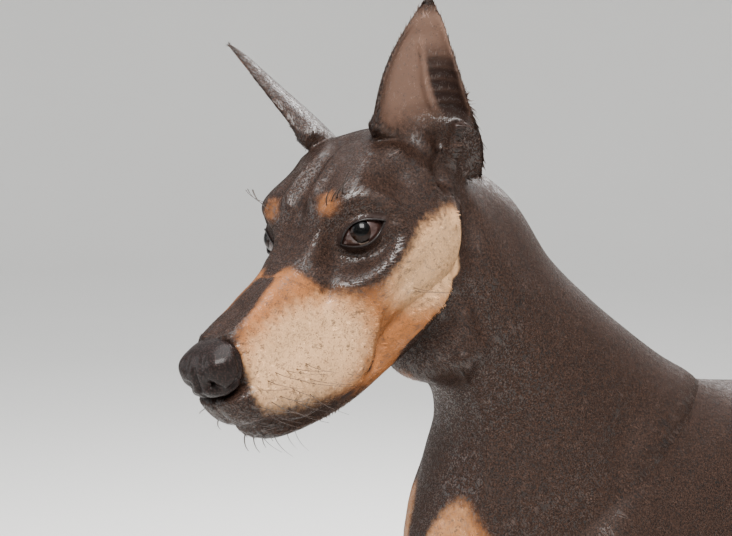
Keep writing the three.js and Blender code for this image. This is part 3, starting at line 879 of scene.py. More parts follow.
skin_points = points_of(skin)
face_share = headness(skin_points)
feet = 1 - ramp(skin_points[:, 2], 60, 110)
inset = blend(COAT_DEPTH_BODY, COAT_DEPTH_FACE, np.maximum(face_share, feet))
skin_points -= normals_of(skin) * inset[:, None]
skin_points[:, 2] = np.maximum(skin_points[:, 2], ABOVE_FLOOR)
move_to(skin, skin_points)

coarse = skin.vertex_groups.new(name="coarse")
levels = np.round((1 - face_share) * 10).astype(int)
for level in range(11):
    coarse.add(np.flatnonzero(levels == level).tolist(), level / 10, "REPLACE")
share_kept = SKIN_TRIANGLES / sum(len(face.vertices) - 2 for face in skin.data.polygons)
thinning = {"ratio": share_kept, "vertex_group": "coarse", "vertex_group_factor": 0.05}
with_modifier(skin, "DECIMATE", use_collapse_triangulate=True, **thinning)
skin.vertex_groups.clear()
print("skin now has", len(skin.data.polygons), "faces")

# %% [markdown]
# Now the eye can be opened. The faces inside an almond outline are deleted, the vertices left on
# the edge are drawn onto the outline, and the edge is extruded inwards twice, which gives the lids
# their thickness and closes the slit between lid and ball.

# %% Opening of the eyes
OUTLINE_POINTS = 160
NEAR_EYE, THROUGH_HEAD = 24, -20
RIM_STEPS = ((0.94, 1.2), (0.9, 3.4))


def inside(outline, points):
    """Which points lie inside a closed outline, both in two dimensions."""
    hit = np.zeros(len(points), bool)
    for (ax, ay), (bx, by) in zip(outline, np.roll(outline, -1, 0)):
        crosses = (ay > points[:, 1]) != (by > points[:, 1])
        at = ax + (points[:, 1] - ay) * (bx - ax) / (by - ay + 1e-12)
        hit ^= crosses & (points[:, 0] < at)
    return hit


def open_eye(bm, side):
    """Cuts the almond of one eye into the skin and turns its edge inwards."""
    outline = np.array([almond(k / OUTLINE_POINTS, side) for k in range(OUTLINE_POINTS)])
    middles = to_eye(np.array([face.calc_center_median() for face in bm.faces]), side)
    gone = inside(outline, middles[:, [0, 2]]) & (middles[:, 1] < 0) & (middles[:, 1] > THROUGH_HEAD)
    doomed = [face for face, cut in zip(bm.faces, gone) if cut]
    bmesh.ops.delete(bm, geom=doomed, context="FACES")
    rim = [
        edge
        for edge in bm.edges
        if edge.is_boundary and np.linalg.norm(np.array(edge.verts[0].co) - eye_centre(side)) < NEAR_EYE
    ]
    for vert in {vert for edge in rim for vert in edge.verts}:
        place = to_eye(np.array(vert.co), side)
        near = outline[np.argmin(np.hypot(*(outline - place[[0, 2]]).T))]
        vert.co = from_eye((near[0], -lid_depth(near[0], near[1]), near[1]), side)
    for narrow, deeper in RIM_STEPS:
        new = bmesh.ops.extrude_edge_only(bm, edges=rim)["geom"]
        rim = [part for part in new if isinstance(part, bmesh.types.BMEdge)]
        rim = [edge for edge in rim if edge.is_boundary]
        for vert in {vert for edge in rim for vert in edge.verts}:
            across, depth, up = to_eye(np.array(vert.co), side)
            vert.co = from_eye((across * narrow, depth + deeper, up * narrow), side)


bm = bmesh.new()
bm.from_mesh(skin.data)
for side in (1, -1):
    open_eye(bm, side)
bmesh.ops.recalc_face_normals(bm, faces=bm.faces[:])
bm.to_mesh(skin.data)
bm.free()
to_eyes = [np.linalg.norm(points_of(skin) - eye_centre(side), axis=1) for side in (1, -1)]
smoothed(skin, 3, (np.minimum(*to_eyes) > NEAR_EYE).astype(float))
print("each eye opening is", 2 * EYE_LONG, "mm long")

# %% [markdown]
# The eyeball is one closed ball with the cornea standing proud of it. Its finish needs to know how
# far a point lies from the middle of the pupil, so that angle is kept on the mesh as an attribute.
# Behind the rims a dark lining fills the two corners, with a small lump at the inner one.

# %% Eyeballs, linings and rims of the lids
IRIS_ANGLE = math.radians(46)
GAZE_OUT, GAZE_UP = 14, 25
CORNEA_RISE = 1.2
LINING_HALF, LINING_RADIUS, LINING_BACK = (17, 12), 11.5, 1.1
LUMP_AT, LUMP_REACH, LUMP_RISE = (-12.2, -0.3), (2.4, 1.8), 1.8
RIM_POINTS, RIM_RADIUS, RIM_SHARE, RIM_BACK = 40, 0.6, 0.985, 0.15
NEVER_ALONG = (0.1, 0.2, 1.0)


def keep_attribute(piece, name, values):
    """Keeps one number for each point of a piece, for its finish to read."""
    attribute = piece.data.attributes.new(name, "FLOAT", "POINT")
    attribute.data.foreach_set("value", np.ascontiguousarray(values, np.float32))


def eyeball(side):
    piece = ball("eyeball", (0, 0, 0), EYE_RADIUS)
    points = points_of(piece) @ turned("X", 90).T
    angle = np.arccos(np.clip(-points[:, 1] / EYE_RADIUS, -1, 1))
    cap = np.clip(1 - (angle / IRIS_ANGLE) ** 2, 0, 1)
    points *= (1 + CORNEA_RISE / EYE_RADIUS * cap ** 1.5)[:, None]
    gaze = turned("Z", side * GAZE_OUT) @ turned("X", -GAZE_UP)
    move_to(piece, from_eye(points @ gaze.T, side))
    keep_attribute(piece, "from_pupil", angle / IRIS_ANGLE)
    keep_attribute(piece, "round_pupil", np.arctan2(points[:, 2], points[:, 0]))
    return piece


def lining(side):
    bm = bmesh.new()
    bmesh.ops.create_grid(bm, x_segments=48, y_segments=36, size=1.0)
    for vert in bm.verts:
        across, up = vert.co.x * LINING_HALF[0], vert.co.y * LINING_HALF[1]
        aside = (across * side - LUMP_AT[0]) / LUMP_REACH[0]
        above = (up - LUMP_AT[1]) / LUMP_REACH[1]
        lump = LUMP_RISE * math.exp(-(aside**2) - above**2)
        depth = LINING_BACK - float(lid_depth(across, up, LINING_RADIUS)) - lump
        vert.co = Vector(from_eye((across, depth, up), side))
    bmesh.ops.recalc_face_normals(bm, faces=bm.faces[:])
    bmesh.ops.solidify(bm, geom=bm.faces[:], thickness=1.0)
    return finished("lining", bm)


def tube(name, path, radii, rings, sides):
    """A round tube along a path that never runs along NEVER_ALONG."""
    path = np.asarray(path, float)
    ahead = unit(np.gradient(path, axis=0))
    side = unit(np.cross(ahead, np.asarray(NEVER_ALONG)))
    over = np.cross(side, ahead)
    stations = [
        station(point + up * radius, point - up * radius, radius, 0.5, across)
        for point, up, across, radius in zip(path, over, side, radii)
    ]
    return loft(name, stations, rings, sides, 1.0)


def lid_rim(side):
    flat = [almond(k / RIM_POINTS + 0.001, side, RIM_SHARE) for k in range(RIM_POINTS + 1)]
    path = [from_eye((a, -lid_depth(a, up) + RIM_BACK, up), side) for a, up in flat]
    return tube("lid_rim", path, [RIM_RADIUS] * len(path), 160, 10)


def soft(piece):
    """Smooth shading, and the place in metres in the frame of the solids."""
    for face in piece.data.polygons:
        face.use_smooth = True
    move_to(piece, points_of(piece) * MM + OFFSET)
    return piece


def placed(piece, name, slot, *nodes):
    """Names a finished piece, sets it on the body of the solids and hides the nodes it stands for; its slot
    is not used.
    """
    piece.name = name
    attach(piece, "root")
    if nodes:
        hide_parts(*nodes)
    return piece


# %% [markdown]
# Every finished piece is named and rides on the one body of the solids. Some also stand in for a
# node of the solids, which is then left out of the picture.

# %% Pieces of the eyes
eyeballs, rims, linings = [], [], []
for side, word in SIDES:
    eyeballs.append(placed(soft(eyeball(side)), "eyeball_" + word, "eye", "eye_" + word))
    linings.append(placed(soft(lining(side)), "eye_lining_" + word, "nose_leather"))
    rims.append(placed(soft(lid_rim(side)), "lid_rim_" + word, "nose_leather"))
print(len(eyeballs + rims + linings), "pieces for the eyes")

# %% [markdown]
# The nose is bare leather with comma-shaped nostrils and a groove down its middle. It is wrapped
# round its own stations and remeshed finely, and the same soft brush that models the flesh presses
# in the nostrils and the slit that runs from each of them round the wing of the nose.

# %% Nose
NOSE_VOXEL = 0.5
NOSE = [
    (98, -17, -33, 9, 0.5),
    (106, -14, -38, 15.5, 0.5),
    (110, -13, -41, 18, 0.48),
    (115, -13.5, -43, 18.6, 0.45),
    (121, -15.5, -43, 17.4, 0.44),
    (126, -19, -41, 14, 0.46),
    (129, -24, -37, 8, 0.46),
]
NOSE_BRUSH = [
    (2.2, 5.5, (122, 11.5, -23), (116, 15, -24)),
    (-6.0, 2.7, (127.5, 8.5, -33), (124, 11, -35)),
    (-4.6, 2.0, (124, 11, -35), (119, 14.5, -37), (114, 17.5, -35)),
    (-3.4, 1.7, (114, 17.5, -35), (111.5, 18.8, -30), (110.5, 18.8, -22)),
    (0.8, 2.4, (121, 11, -40), (115, 15, -39)),
    (-1.0, 2.4, (124, 5.5, -14), (126, 6, -22), (127, 6.5, -27)),
]
NOSE_MIDDLE = [
    (-1.8, 1.6, (129.5, 0, -22), (129, 0, -33), (125, 0, -42)),
    (-1.6, 3.5, (128, 0, -16), (122, 0, -10), (112, 0, -8)),
]
nose = loft("nose_form", along_head(NOSE), 44, 56, 0.82)
with_modifier(nose, "REMESH", mode="VOXEL", voxel_size=NOSE_VOXEL)
smoothed(nose, 4, np.zeros(len(nose.data.vertices)))
head_brushed(nose, NOSE_MIDDLE, mirrored=False)
head_brushed(nose, NOSE_BRUSH)
placed(soft(nose), "nose_pad", "nose_leather", "nose")
print("nose pad has", len(nose.data.polygons), "faces")

# %% [markdown]
# The skin ends behind the pad, so its front is pressed back where the pad covers it.

# %% Skin behind the nose
PAD_BACK, PAD_SQUEEZE = 107.0, 0.15
skin_points = to_head(points_of(skin))
behind_pad = ramp(skin_points[:, 2], -47, -41) * (skin_points[:, 0] > PAD_BACK)
skin_points[:, 0] += behind_pad * (PAD_BACK - skin_points[:, 0]) * 0.85
skin_points[:, 1] *= 1 - PAD_SQUEEZE * behind_pad
move_to(skin, from_head(skin_points))
print("the skin ends", PAD_BACK, "mm in front of the eyes")

# %% [markdown]
# Each toe ends in a blunt curved claw of dark horn. Four tubes that taper along the same curve make
# the claws of a paw, joined to one piece.

# %% Claws
# Place past the tip of the toe, height, radius.
CLAW = [(-6, 13, 4.2), (2, 12.5, 3.6), (9.35, 9, 2.6), (14, 5.5, 1.7), (17, 2.9, 0.8)]
TOE_TIP = -57.0
for leg, paw in (("fore", FORE_PAW), ("hind", HIND_PAW)):
    for side, word in SIDES:
        claws = []
        for toe in TOES:
            path = [(*toe_at(toe, paw, TOE_TIP - past, side), height) for past, height, r in CLAW]
            claws.append(tube("claw", path, [radius for past, height, radius in CLAW], 16, 14))
        nodes = ["%s_claw_%s_%d" % (leg, word, number) for number in (1, 2, 3, 4)]
        placed(soft(joined("claws", claws)), "%s_claws_%s" % (leg, word), "claw", *nodes)
print("claws stand", CLAW[-1][0], "mm past the toes")

# %% [markdown]
# A Doberman is dark with rust markings in fixed places: the sides of the muzzle and the cheeks, a
# spot over each eye, the throat, two patches on the chest, the legs and under the tail. One
# function says for any point how rust and how pale it is. Skin and coat both ask it, so they always
# agree.

# %% Places of the markings
# A spot is a middle, three radii and, for some, the softness of its edge. Those of the face are in
# the head's frame, the others in the dog's, and all are given for the left side.
BROW_SPOT = ((7, 23, 27), (9, 9, 8), 0.8)
THROAT_SPOT = ((10, -300, 712), (24, 44, 26))
CHEST_SPOT = ((34, -246, 575), (25, 45, 62), 0.25)
SEAT_SPOT = ((0, 462, 590), (30, 32, 44))
PALE_MUZZLE = ((72, 28, -46), (58, 24, 32), 0.5)
PALE_CHEEK = ((-44, 52, -30), (48, 30, 32), 0.5)
PALE_CHEST = ((28, -246, 600), (22, 40, 50))
BROW_SHARE, PALE_FACE_SHARE, PALE_CHEST_SHARE = 0.6, 0.95, 0.4
# Upper edge of the rust on the cheek: forward, up. Its hind edge: up, forward.
CHEEK_TOP = [(-80, -8), (-55, -2), (-30, -4), (-10, -16), (6, -26), (20, -26), (36, -18), (52, 0)]
CHEEK_BACK = [(-95, 6), (-75, -6), (-65, -40), (-50, -68), (-23, -74), (0, -72)]
CHEEK_ENDS = 52
LIPS_TOP = -48


def spot(points, centre, radii, soft_edge=0.35):
    """1 inside an ellipsoid, falling to 0 outside its edge."""
    reach = np.linalg.norm((points - np.asarray(centre, float)) / np.asarray(radii, float), axis=1)
    return 1 - ramp(reach, 1 - soft_edge, 1 + soft_edge)


def read_off(values, pairs):
    """Values read off a line through pairs."""
    return np.interp(values, *zip(*pairs))


def one_side(points):
    """Points in the head's frame, all on its left side."""
    head = to_head(points)
    head[:, 1] = np.abs(head[:, 1])
    return head


def face_rust(forward, left, up):
    """Rust on the cheek and on the side of the muzzle, dark on the bridge and the front of the lips."""
    top = read_off(forward, CHEEK_TOP)
    cheek = ramp(top - up, -13, 13) * ramp(forward - read_off(up, CHEEK_BACK), -4, 4)
    bridge = ramp(left - 0.12 * (forward - 60), 4, 13)
    muzzle = np.maximum(bridge, up < LIPS_TOP) * ramp(forward, 30, 50)
    muzzle *= 1 - ramp(forward - 0.6 * left, 92, 104)
    joint = cheek + muzzle * ramp(forward, 30, CHEEK_ENDS) * (up > top)
    return np.where(forward > CHEEK_ENDS, muzzle, joint)


def leg_rust(x, y, z):
    """Rust below a slanting line on each leg, and higher up on the inside of the thigh."""
    fore = (y < 120) * (1 - ramp(z + 0.4 * (x - 70), 300, 345))
    hind = (y > 250) * (1 - ramp(z + 0.9 * (x - 77) + 0.5 * (y - 420), 235, 285))
    inner_thigh = (y > 250) * (x < 62) * (1 - ramp(z, 380, 470))
    return np.maximum.reduce([fore, hind, inner_thigh])


def bareness(points, head):
    """1 on the rims of the eyes, behind the nose pad and under the paws."""
    forward, left, up = head.T
    bare = (1 - ramp(119 - forward, 1.5, 5)) * ramp(up, LIPS_TOP, -43) * (left < 20)
    bare = np.maximum(bare, 1 - ramp(points[:, 2], 2.5, 5))
    for side in (1, -1):
        across, depth, rise = to_eye(points, side).T
        ring = np.hypot((across - side * EYE_SHIFT) / 16.4, (rise - EYE_LIFT - 0.8) / 8.2)
        bare = np.maximum(bare, (1 - ramp(ring, 0.96, 1.14)) * (depth < FRONT_OF_EYE))
    return np.clip(bare, 0, 1)


def markings(points):
    """How rust and how pale the coat is at points in the dog's frame."""
    head = one_side(points)
    body = points.copy()
    body[:, 0] = np.abs(body[:, 0])
    on_head = headness(points)
    rust = np.maximum(face_rust(*head.T), spot(head, *BROW_SPOT) * BROW_SHARE) * on_head
    throat = spot(body, *THROAT_SPOT) * (1 - on_head)
    rust = np.maximum.reduce([rust, throat, spot(body, *CHEST_SPOT), spot(body, *SEAT_SPOT)])
    rust = np.maximum(rust, leg_rust(*body.T))
    pale = np.maximum(spot(head, *PALE_MUZZLE), spot(head, *PALE_CHEEK)) * PALE_FACE_SHARE
    pale = np.maximum(pale, spot(body, *PALE_CHEST) * PALE_CHEST_SHARE)
    return np.clip(rust, 0, 1), np.clip(pale, 0, 1)


# %% [markdown]
# The lips have a dark bare edge. The inside of each ear is pale, thinly haired skin, with painted
# shade in the hollow behind its ridge, lighter on its folds, and a painted highlight along its rim.

# %% Markings on the skin
def lip_share(points):
    """1 on the dark bare edge of the lips."""
    return 1 - ramp(mouth_gap(points), 1.2, 2.6)


def ear_inside(points):
    """How far inside the cup of an ear points lie, with a painted highlight on its rim, and how much
    painted shade lies behind its ridge.
    """
    head = one_side(points)
    height = np.clip((head - EAR_BASE) @ EAR_AXIS, EAR_HEIGHTS[0], EAR_HEIGHTS[-1])
    rows = np.interp(height, EAR_HEIGHTS, np.linspace(0, 1, len(EAR)))
    along, chord, depth, centre, ahead, outward = ear_frame(rows)
    away = head - centre
    across = np.einsum("ij,ij->i", away, ahead) / np.maximum(chord, 1)
    deep = -np.einsum("ij,ij->i", away, outward)
    wall = depth * np.sqrt(np.clip(1 - across**2, 0, 1))
    within = (np.abs(across) < 0.9) & (deep < wall - 2.2) & (deep > -8)
    within = within * ramp(head[:, 2], 38, 66) * ramp(height, -4, 24) * (1 - ramp(height, 82, 94))
    within = within * (1 - 0.5 * ramp(across, 0.5, 0.9))
    behind = read_off(height, EAR_RIDGE[::-1]) - across
    # Painted shade fills the hollow behind the ridge, a little lighter where the folds cross it.
    painted_light_on_folds = 0.5 + 0.5 * np.cos(2 * math.pi * (height - EAR_BARS[0]) / (EAR_BARS[1] - EAR_BARS[0]))
    painted_hollow_shade = ramp(behind, 0.02, 0.14) * (1 - ramp(-across, 0.84, 0.96)) * (1 - ramp(height, 46, 72))
    # A painted highlight along the rim of the cup.
    edge = np.exp(-((nearness(head, curved(EAR_RIM_HIGHLIGHT)) / 2.6) ** 2)) * 0.7
    return np.maximum(within, edge), painted_hollow_shade * (within > 0) * (1 - 0.16 * painted_light_on_folds**3)


skin_points = points_of(skin)
skin_normals = normals_of(skin)
skin_rust, skin_pale = markings(skin_points)
skin_bare = np.maximum(bareness(skin_points, one_side(skin_points)), lip_share(skin_points))
skin_ear_and_rim_highlight, skin_hollow_painted_shade = ear_inside(skin_points)
print("rust covers", round(float(skin_rust.mean()), 2), "of the skin's points")

# %% [markdown]
# Hair lies in streams: back from the nose, over the brow, down the cheeks and the neck, along the
# ribs and down the legs. A few dozen guides say which way it lies at a place, and between them the
# ways are blended and laid flat on the skin.

# %% Lie of the coat
# A guide is a place, the way the hair lies there, and how far it counts.
HEAD_GUIDES = [
    ((110, 0, -14), (-1, 0, 0.1), 28),
    ((100, 22, -45), (-0.9, 0.1, -0.35), 26),
    ((60, 12, 0), (-1, 0.15, 0.1), 26),
    ((62, 28, -45), (-0.9, 0, -0.35), 26),
    ((30, 34, -45), (-0.85, 0.1, -0.5), 24),
    ((34, 6, 8), (-0.8, 0.3, 0.5), 16),
    ((0, 8, 38), (-0.9, 0.15, 0.4), 24),
    ((6, 30, 28), (-0.8, 0.6, 0.2), 12),
    ((-30, 20, 52), (-1, 0.2, 0.05), 30),
    ((-10, 50, -10), (-1, 0.2, -0.15), 22),
    ((-34, 54, -30), (-0.85, 0.1, -0.5), 24),
    ((-60, 50, -50), (-0.5, 0, -0.85), 24),
    ((-60, 52, 0), (-0.95, 0, -0.3), 24),
    ((-92, 50, -40), (0.15, 0, -1), 20),
    ((60, 10, -95), (-1, 0, -0.1), 30),
    ((0, 15, -92), (-1, 0, -0.2), 30),
    ((-72, 58, 75), (0.08, 0.42, 0.9), 34),
    ((-66, 80, 112), (0.08, 0.42, 0.9), 26),
    ((-76, 46, 44), (-0.2, 0.4, 0.8), 18),
]
TAIL_LIE = (0, 0.74, 0.67)
BODY_GUIDES = [
    ((0, -40, 700), (0, 1, -0.1), 110),
    ((0, 150, 690), (0, 1, 0), 110),
    ((0, 340, 690), (0, 1, -0.1), 90),
    ((100, 0, 560), (0, 0.8, -0.6), 90),
    ((100, 150, 540), (0, 0.85, -0.5), 90),
    ((80, 300, 560), (0, 0.7, -0.7), 80),
    ((30, 100, 350), (0, 1, 0), 70),
    ((90, -120, 600), (0, 0.5, -0.85), 70),
    ((20, -260, 560), (0.3, 0, -1), 50),
    ((60, -240, 500), (0, 0.3, -1), 50),
    ((100, 390, 560), (0, 0.5, -0.85), 70),
    ((85, 350, 430), (0, 0.35, -0.9), 55),
    ((77, 450, 280), (0, 0.1, -1), 60),
    ((77, 480, 130), (0, -0.1, -1), 55),
    ((77, 430, 25), (0, -0.8, -0.6), 32),
    ((77, -60, 380), (0, 0.2, -1), 60),
    ((70, -30, 220), (0, 0, -1), 70),
    ((70, -110, 25), (0, -0.8, -0.6), 32),
    ((0, 440, 660), TAIL_LIE, 26),
    ((0, 480, 695), TAIL_LIE, 26),
    ((0, -110, 770), (0, 0.6, -0.8), 50),
    ((0, -60, 735), (0, 0.8, -0.6), 50),
    ((0, -175, 835), (0, 0.45, -0.9), 40),
    ((55, -195, 790), (0, 0.5, -0.85), 50),
    ((65, -140, 690), (0, 0.45, -0.9), 50),
    ((30, -235, 690), (0, 0.1, -1), 45),
    ((0, -240, 600), (0, 0.05, -1), 45),
]


def blended(points, guides, mirror):
    """Ways blended between guides, with the guides repeated on the other side of the mirror axis."""
    flip = np.ones_like(points)
    flip[:, mirror] = np.where(points[:, mirror] < 0, -1.0, 1.0)
    way = np.zeros_like(points)
    total = np.zeros(len(points))
    for place, lie, reach in guides:
        away = np.linalg.norm(points * flip - np.array(place, float), axis=1)
        near = np.exp(-(away / reach) ** 2) + 1e-12
        way += near[:, None] * unit(np.array(lie, float))
        total += near
    return way / total[:, None] * flip


def lie_of_coat(points):
    """The way the hair lies at points in the dog's frame."""
    on_head = from_head(blended(to_head(points), HEAD_GUIDES, 1)) - HEAD_AT
    on_body = blended(points, BODY_GUIDES, 0)
    share = headness(points)[:, None]
    return unit(on_head * share + on_body * (1 - share))


print(len(HEAD_GUIDES + BODY_GUIDES), "guides for the hair")

# %% [markdown]
# The finishes come next. Hair and skin share one recipe for colour: dark brown, rust and pale tan,
# mixed by the attributes on the mesh and broken up by noise, so that no edge of a marking is a
# clean line. The tufts add painted shade at the root and painted light at the tip. Pairs of colours
# are mixed by noise.

# %% Colours
DARK_HAIR = (0.014, 0.0078, 0.0058)
DARK_HAIR_LIGHT = (0.056, 0.031, 0.022)
RUST_HAIR = (0.22, 0.092, 0.036)
RUST_HAIR_LIGHT = tuple(1.35 * value for value in RUST_HAIR)
PALE_HAIR = (0.47, 0.30, 0.175)
BARE_SKIN = (0.030, 0.018, 0.015)
# Inner ear skin, also used for the painted highlight along the ear's rim.
EAR_SKIN_AND_RIM_HIGHLIGHT = (0.20, 0.125, 0.095)
# Painted shade in the hollow behind the ridge of the ear.
EAR_HOLLOW_PAINTED_SHADE = (0.035, 0.020, 0.016)
NOSE_PEBBLE, NOSE_CRACK = (0.026, 0.013, 0.011), (0.009, 0.005, 0.004)
WET_RIM = ((0.007, 0.0045, 0.004), (0.018, 0.011, 0.009))
WET_CORNER = ((0.025, 0.012, 0.010), (0.06, 0.030, 0.025))
HORN = ((0.012, 0.009, 0.008), (0.05, 0.036, 0.028))
IRIS = ((0.005, 0.002, 0.0015), (0.022, 0.008, 0.0035))
IRIS_EDGE = (0.006, 0.003, 0.002)
EYE_WHITE = ((0.17, 0.125, 0.10), (0.34, 0.28, 0.235))
PUPIL = (0.001, 0.001, 0.001)
WHISKER = ((0.02, 0.014, 0.012), (0.07, 0.05, 0.04))
STUDIO = ((0.84, 0.832, 0.81), (0.88, 0.873, 0.85))

# %% [markdown]
# A small class keeps the recipes short. It holds one material, and each of its methods adds a node,
# joins it to what it is given and hands back its result.

# %% A class for finishes
class Finish:
    """A material and short ways to add and join its nodes."""

    def __init__(self, name, roughness, specular=0.5, coat=0.0, coat_roughness=0.1):
        self.material = bpy.data.materials.new(name)
        self.material.use_nodes = True
        self.tree = self.material.node_tree
        self.shader = self.tree.nodes["Principled BSDF"]
        self.set(self.shader, Roughness=roughness)
        self.shader.inputs["Specular IOR Level"].default_value = specular
        self.shader.inputs["Coat Weight"].default_value = coat
        self.shader.inputs["Coat Roughness"].default_value = coat_roughness
        self.place = self.add("TexCoord").outputs["Object"]

    def join(self, socket, value):
        """Links a socket to another node, or gives it a plain value."""
        if isinstance(value, bpy.types.NodeSocket):
            self.tree.links.new(value, socket)
        elif socket.type == "RGBA" and len(value) == 3:
            socket.default_value = (*value, 1)
        else:
            socket.default_value = value

    def join_in_order(self, node, *values):
        for socket, value in zip(node.inputs, values):
            self.join(socket, value)
        return node.outputs[0]

    def set(self, node, **values):
        for name, value in values.items():
            self.join(node.inputs[name.replace("_", " ")], value)
        return node

    def add(self, kind, **values):
        return self.set(self.tree.nodes.new("ShaderNode" + kind), **values)

    def attribute(self, name):
        node = self.add("Attribute")
        node.attribute_name = name
        return node.outputs["Fac"]

    def noise(self, scale, detail=3.0, place=None):
        node = self.add("TexNoise", Scale=scale, Detail=detail, Vector=place or self.place)
        return node.outputs["Fac"]

    def math(self, operation, first, second):
        node = self.add("Math")
        node.operation = operation
        return self.join_in_order(node, first, second)

    def spread(self, value, low, high, to_low=0.0, to_high=1.0):
        """Spreads the values from low to high softly over another range."""
        node = self.add("MapRange")
        node.interpolation_type = "SMOOTHSTEP"
        return self.join_in_order(node, value, low, high, to_low, to_high)

    def mix(self, share, first, second, blend="MIX"):
        node = self.tree.nodes.new("ShaderNodeMix")
        node.data_type = "RGBA"
        node.blend_type = blend
        for socket, value in zip((node.inputs["Factor"], *node.inputs[6:8]), (share, first, second)):
            self.join(socket, value)
        return node.outputs[2]

    def mottled(self, colours, scale, detail=3.0, place=None):
        """Two colours mixed by noise."""
        return self.mix(self.noise(scale, detail, place), *colours)

    def bump(self, height, strength, distance):
        node = self.add("Bump", Height=height, Strength=strength, Distance=distance)
        self.set(self.shader, Normal=node.outputs["Normal"])

    def paint(self, colour):
        self.set(self.shader, Base_Color=colour)


# %% [markdown]
# Hair and skin both take their colour from the attributes. The larger noise shades the rust, a finer
# one the dark hair, and a third breaks the edges of the markings.

# %% Skin and hair
PATCHES, RAGGED_EDGE, FINE_HAIR = 45, 260, 900


def hair_colour(finish):
    """Colour of the coat from its attributes, with broken edges between the markings."""
    patch = finish.noise(PATCHES)
    fine = finish.noise(FINE_HAIR, 2)
    ragged = finish.math("MULTIPLY", finish.math("SUBTRACT", finish.noise(RAGGED_EDGE, 3), 0.5), 0.5)
    dark = finish.mix(finish.spread(fine, 0.3, 0.75), DARK_HAIR, DARK_HAIR_LIGHT)
    rust = finish.mix(finish.spread(patch, 0.35, 0.7), RUST_HAIR, RUST_HAIR_LIGHT)
    pale = finish.math("ADD", finish.attribute("pale"), ragged)
    rust = finish.mix(finish.spread(pale, 0.1, 1.0), rust, PALE_HAIR)
    share = finish.math("ADD", finish.attribute("rust"), ragged)
    coat = finish.mix(finish.spread(share, 0.15, 0.85), dark, rust)
    # Inner ear skin with the painted highlight on its rim, then painted shade in the hollow behind the
    # ridge.
    coat = finish.mix(finish.attribute("ear"), coat, EAR_SKIN_AND_RIM_HIGHLIGHT)
    return finish.mix(finish.attribute("painted_hollow_shade"), coat, EAR_HOLLOW_PAINTED_SHADE)


skin_finish = Finish("short_fur_and_skin", 0.58, 0.22)
haired = hair_colour(skin_finish)
skin_finish.paint(skin_finish.mix(skin_finish.attribute("bare"), haired, BARE_SKIN))
skin_finish.bump(skin_finish.noise(1400, 4), 0.5, 0.0006)

hair_finish = Finish("glossy_short_hair", 0.34, 0.6)
colour = hair_colour(hair_finish)
# Painted shade darkens each tuft towards its root, and painted light brightens it towards its tip.
depth = hair_finish.spread(hair_finish.attribute("tip"), 0.0, 1.0, 0.7, 1.25)
tone = hair_finish.math("MULTIPLY", hair_finish.attribute("shade"), depth)
grey = hair_finish.add("CombineColor", Red=tone, Green=tone, Blue=tone).outputs[0]
hair_finish.paint(hair_finish.mix(1.0, colour, grey, "MULTIPLY"))

# %% [markdown]
# The nose is pebbled leather with darker cracks. The rims and corners of the lids are dark and wet,
# and the claws are streaked horn.

# %% Leather, wet skin and horn
leather = Finish("nose_leather", 0.5, 0.18, coat=0.28, coat_roughness=0.2)
pebbles = leather.add("TexVoronoi", Scale=820.0, Vector=leather.place).outputs["Distance"]
cracks = leather.spread(pebbles, 0.15, 0.65)
leather.paint(leather.mix(cracks, NOSE_PEBBLE, NOSE_CRACK))
leather.set(leather.shader, Roughness=leather.spread(pebbles, 0.1, 0.6, 0.36, 0.6))
leather.bump(leather.math("SUBTRACT", 1.0, cracks), 0.55, 0.0004)

wet_rim = Finish("wet_dark_skin", 0.4, 0.3, coat=0.3, coat_roughness=0.12)
wet_rim.paint(wet_rim.mottled(WET_RIM, 500))
wet_rim.bump(wet_rim.noise(1500), 0.3, 0.0003)

wet_lining = Finish("wet_eye_corner", 0.3, 0.5, coat=0.8, coat_roughness=0.06)
wet_lining.paint(wet_lining.mottled(WET_CORNER, 400))

horn = Finish("dark_horn", 0.36, 0.5, coat=0.2, coat_roughness=0.2)
stretched = horn.add("Mapping", Vector=horn.place, Scale=(900.0, 120.0, 300.0)).outputs[0]
horn.paint(horn.mottled(HORN, 1.0, 4, stretched))
horn.bump(horn.noise(1.0, 4, stretched), 0.3, 0.0003)

# %% [markdown]
# The eye is painted in rings by the angle from the middle of the pupil: the pupil, the spokes of the
# iris, its dark edge, and the white. That angle is 1 at the edge of the iris.

# %% Eye
PUPIL_EDGE, IRIS_DARKENS, WHITE_BEGINS = (0.5, 0.56), (0.72, 1.0), (0.98, 1.08)
eye_finish = Finish("wet_brown_eye", 0.3, 0.1, coat=0.35, coat_roughness=0.015)
from_pupil = eye_finish.attribute("from_pupil")
spokes = eye_finish.add("CombineXYZ", X=eye_finish.attribute("round_pupil"), Y=from_pupil).outputs[0]
spokes = eye_finish.add("Mapping", Vector=spokes, Scale=(9.0, 2.5, 1.0)).outputs[0]
iris = eye_finish.mottled(IRIS, 1.6, 4, spokes)
iris = eye_finish.mix(eye_finish.spread(from_pupil, *IRIS_DARKENS), iris, IRIS_EDGE)
white = eye_finish.mottled(EYE_WHITE, 700)
colour = eye_finish.mix(eye_finish.spread(from_pupil, *WHITE_BEGINS), iris, white)
eye_finish.paint(eye_finish.mix(eye_finish.spread(from_pupil, *PUPIL_EDGE), PUPIL, colour))


def dress(piece, finish):
    piece.data.materials.clear()
    piece.data.materials.append(finish.material)


dress(nose, leather)
for pieces, finish in ((eyeballs, eye_finish), (rims, wet_rim), (linings, wet_lining)):
    for piece in pieces:
        dress(piece, finish)
for piece in bpy.context.scene.objects:
    if "_claws_" in piece.name:
        dress(piece, horn)
print(len(bpy.data.materials), "materials so far")

# %% [markdown]
# Short fur is made of real tufts: each is a slim closed spike of four faces, rooted just under the
# skin and laid along the stream. There are hundreds of thousands, so they are worked out together
# in arrays and joined to a few pieces, dense and tiny on the face, longer and broader on the body.

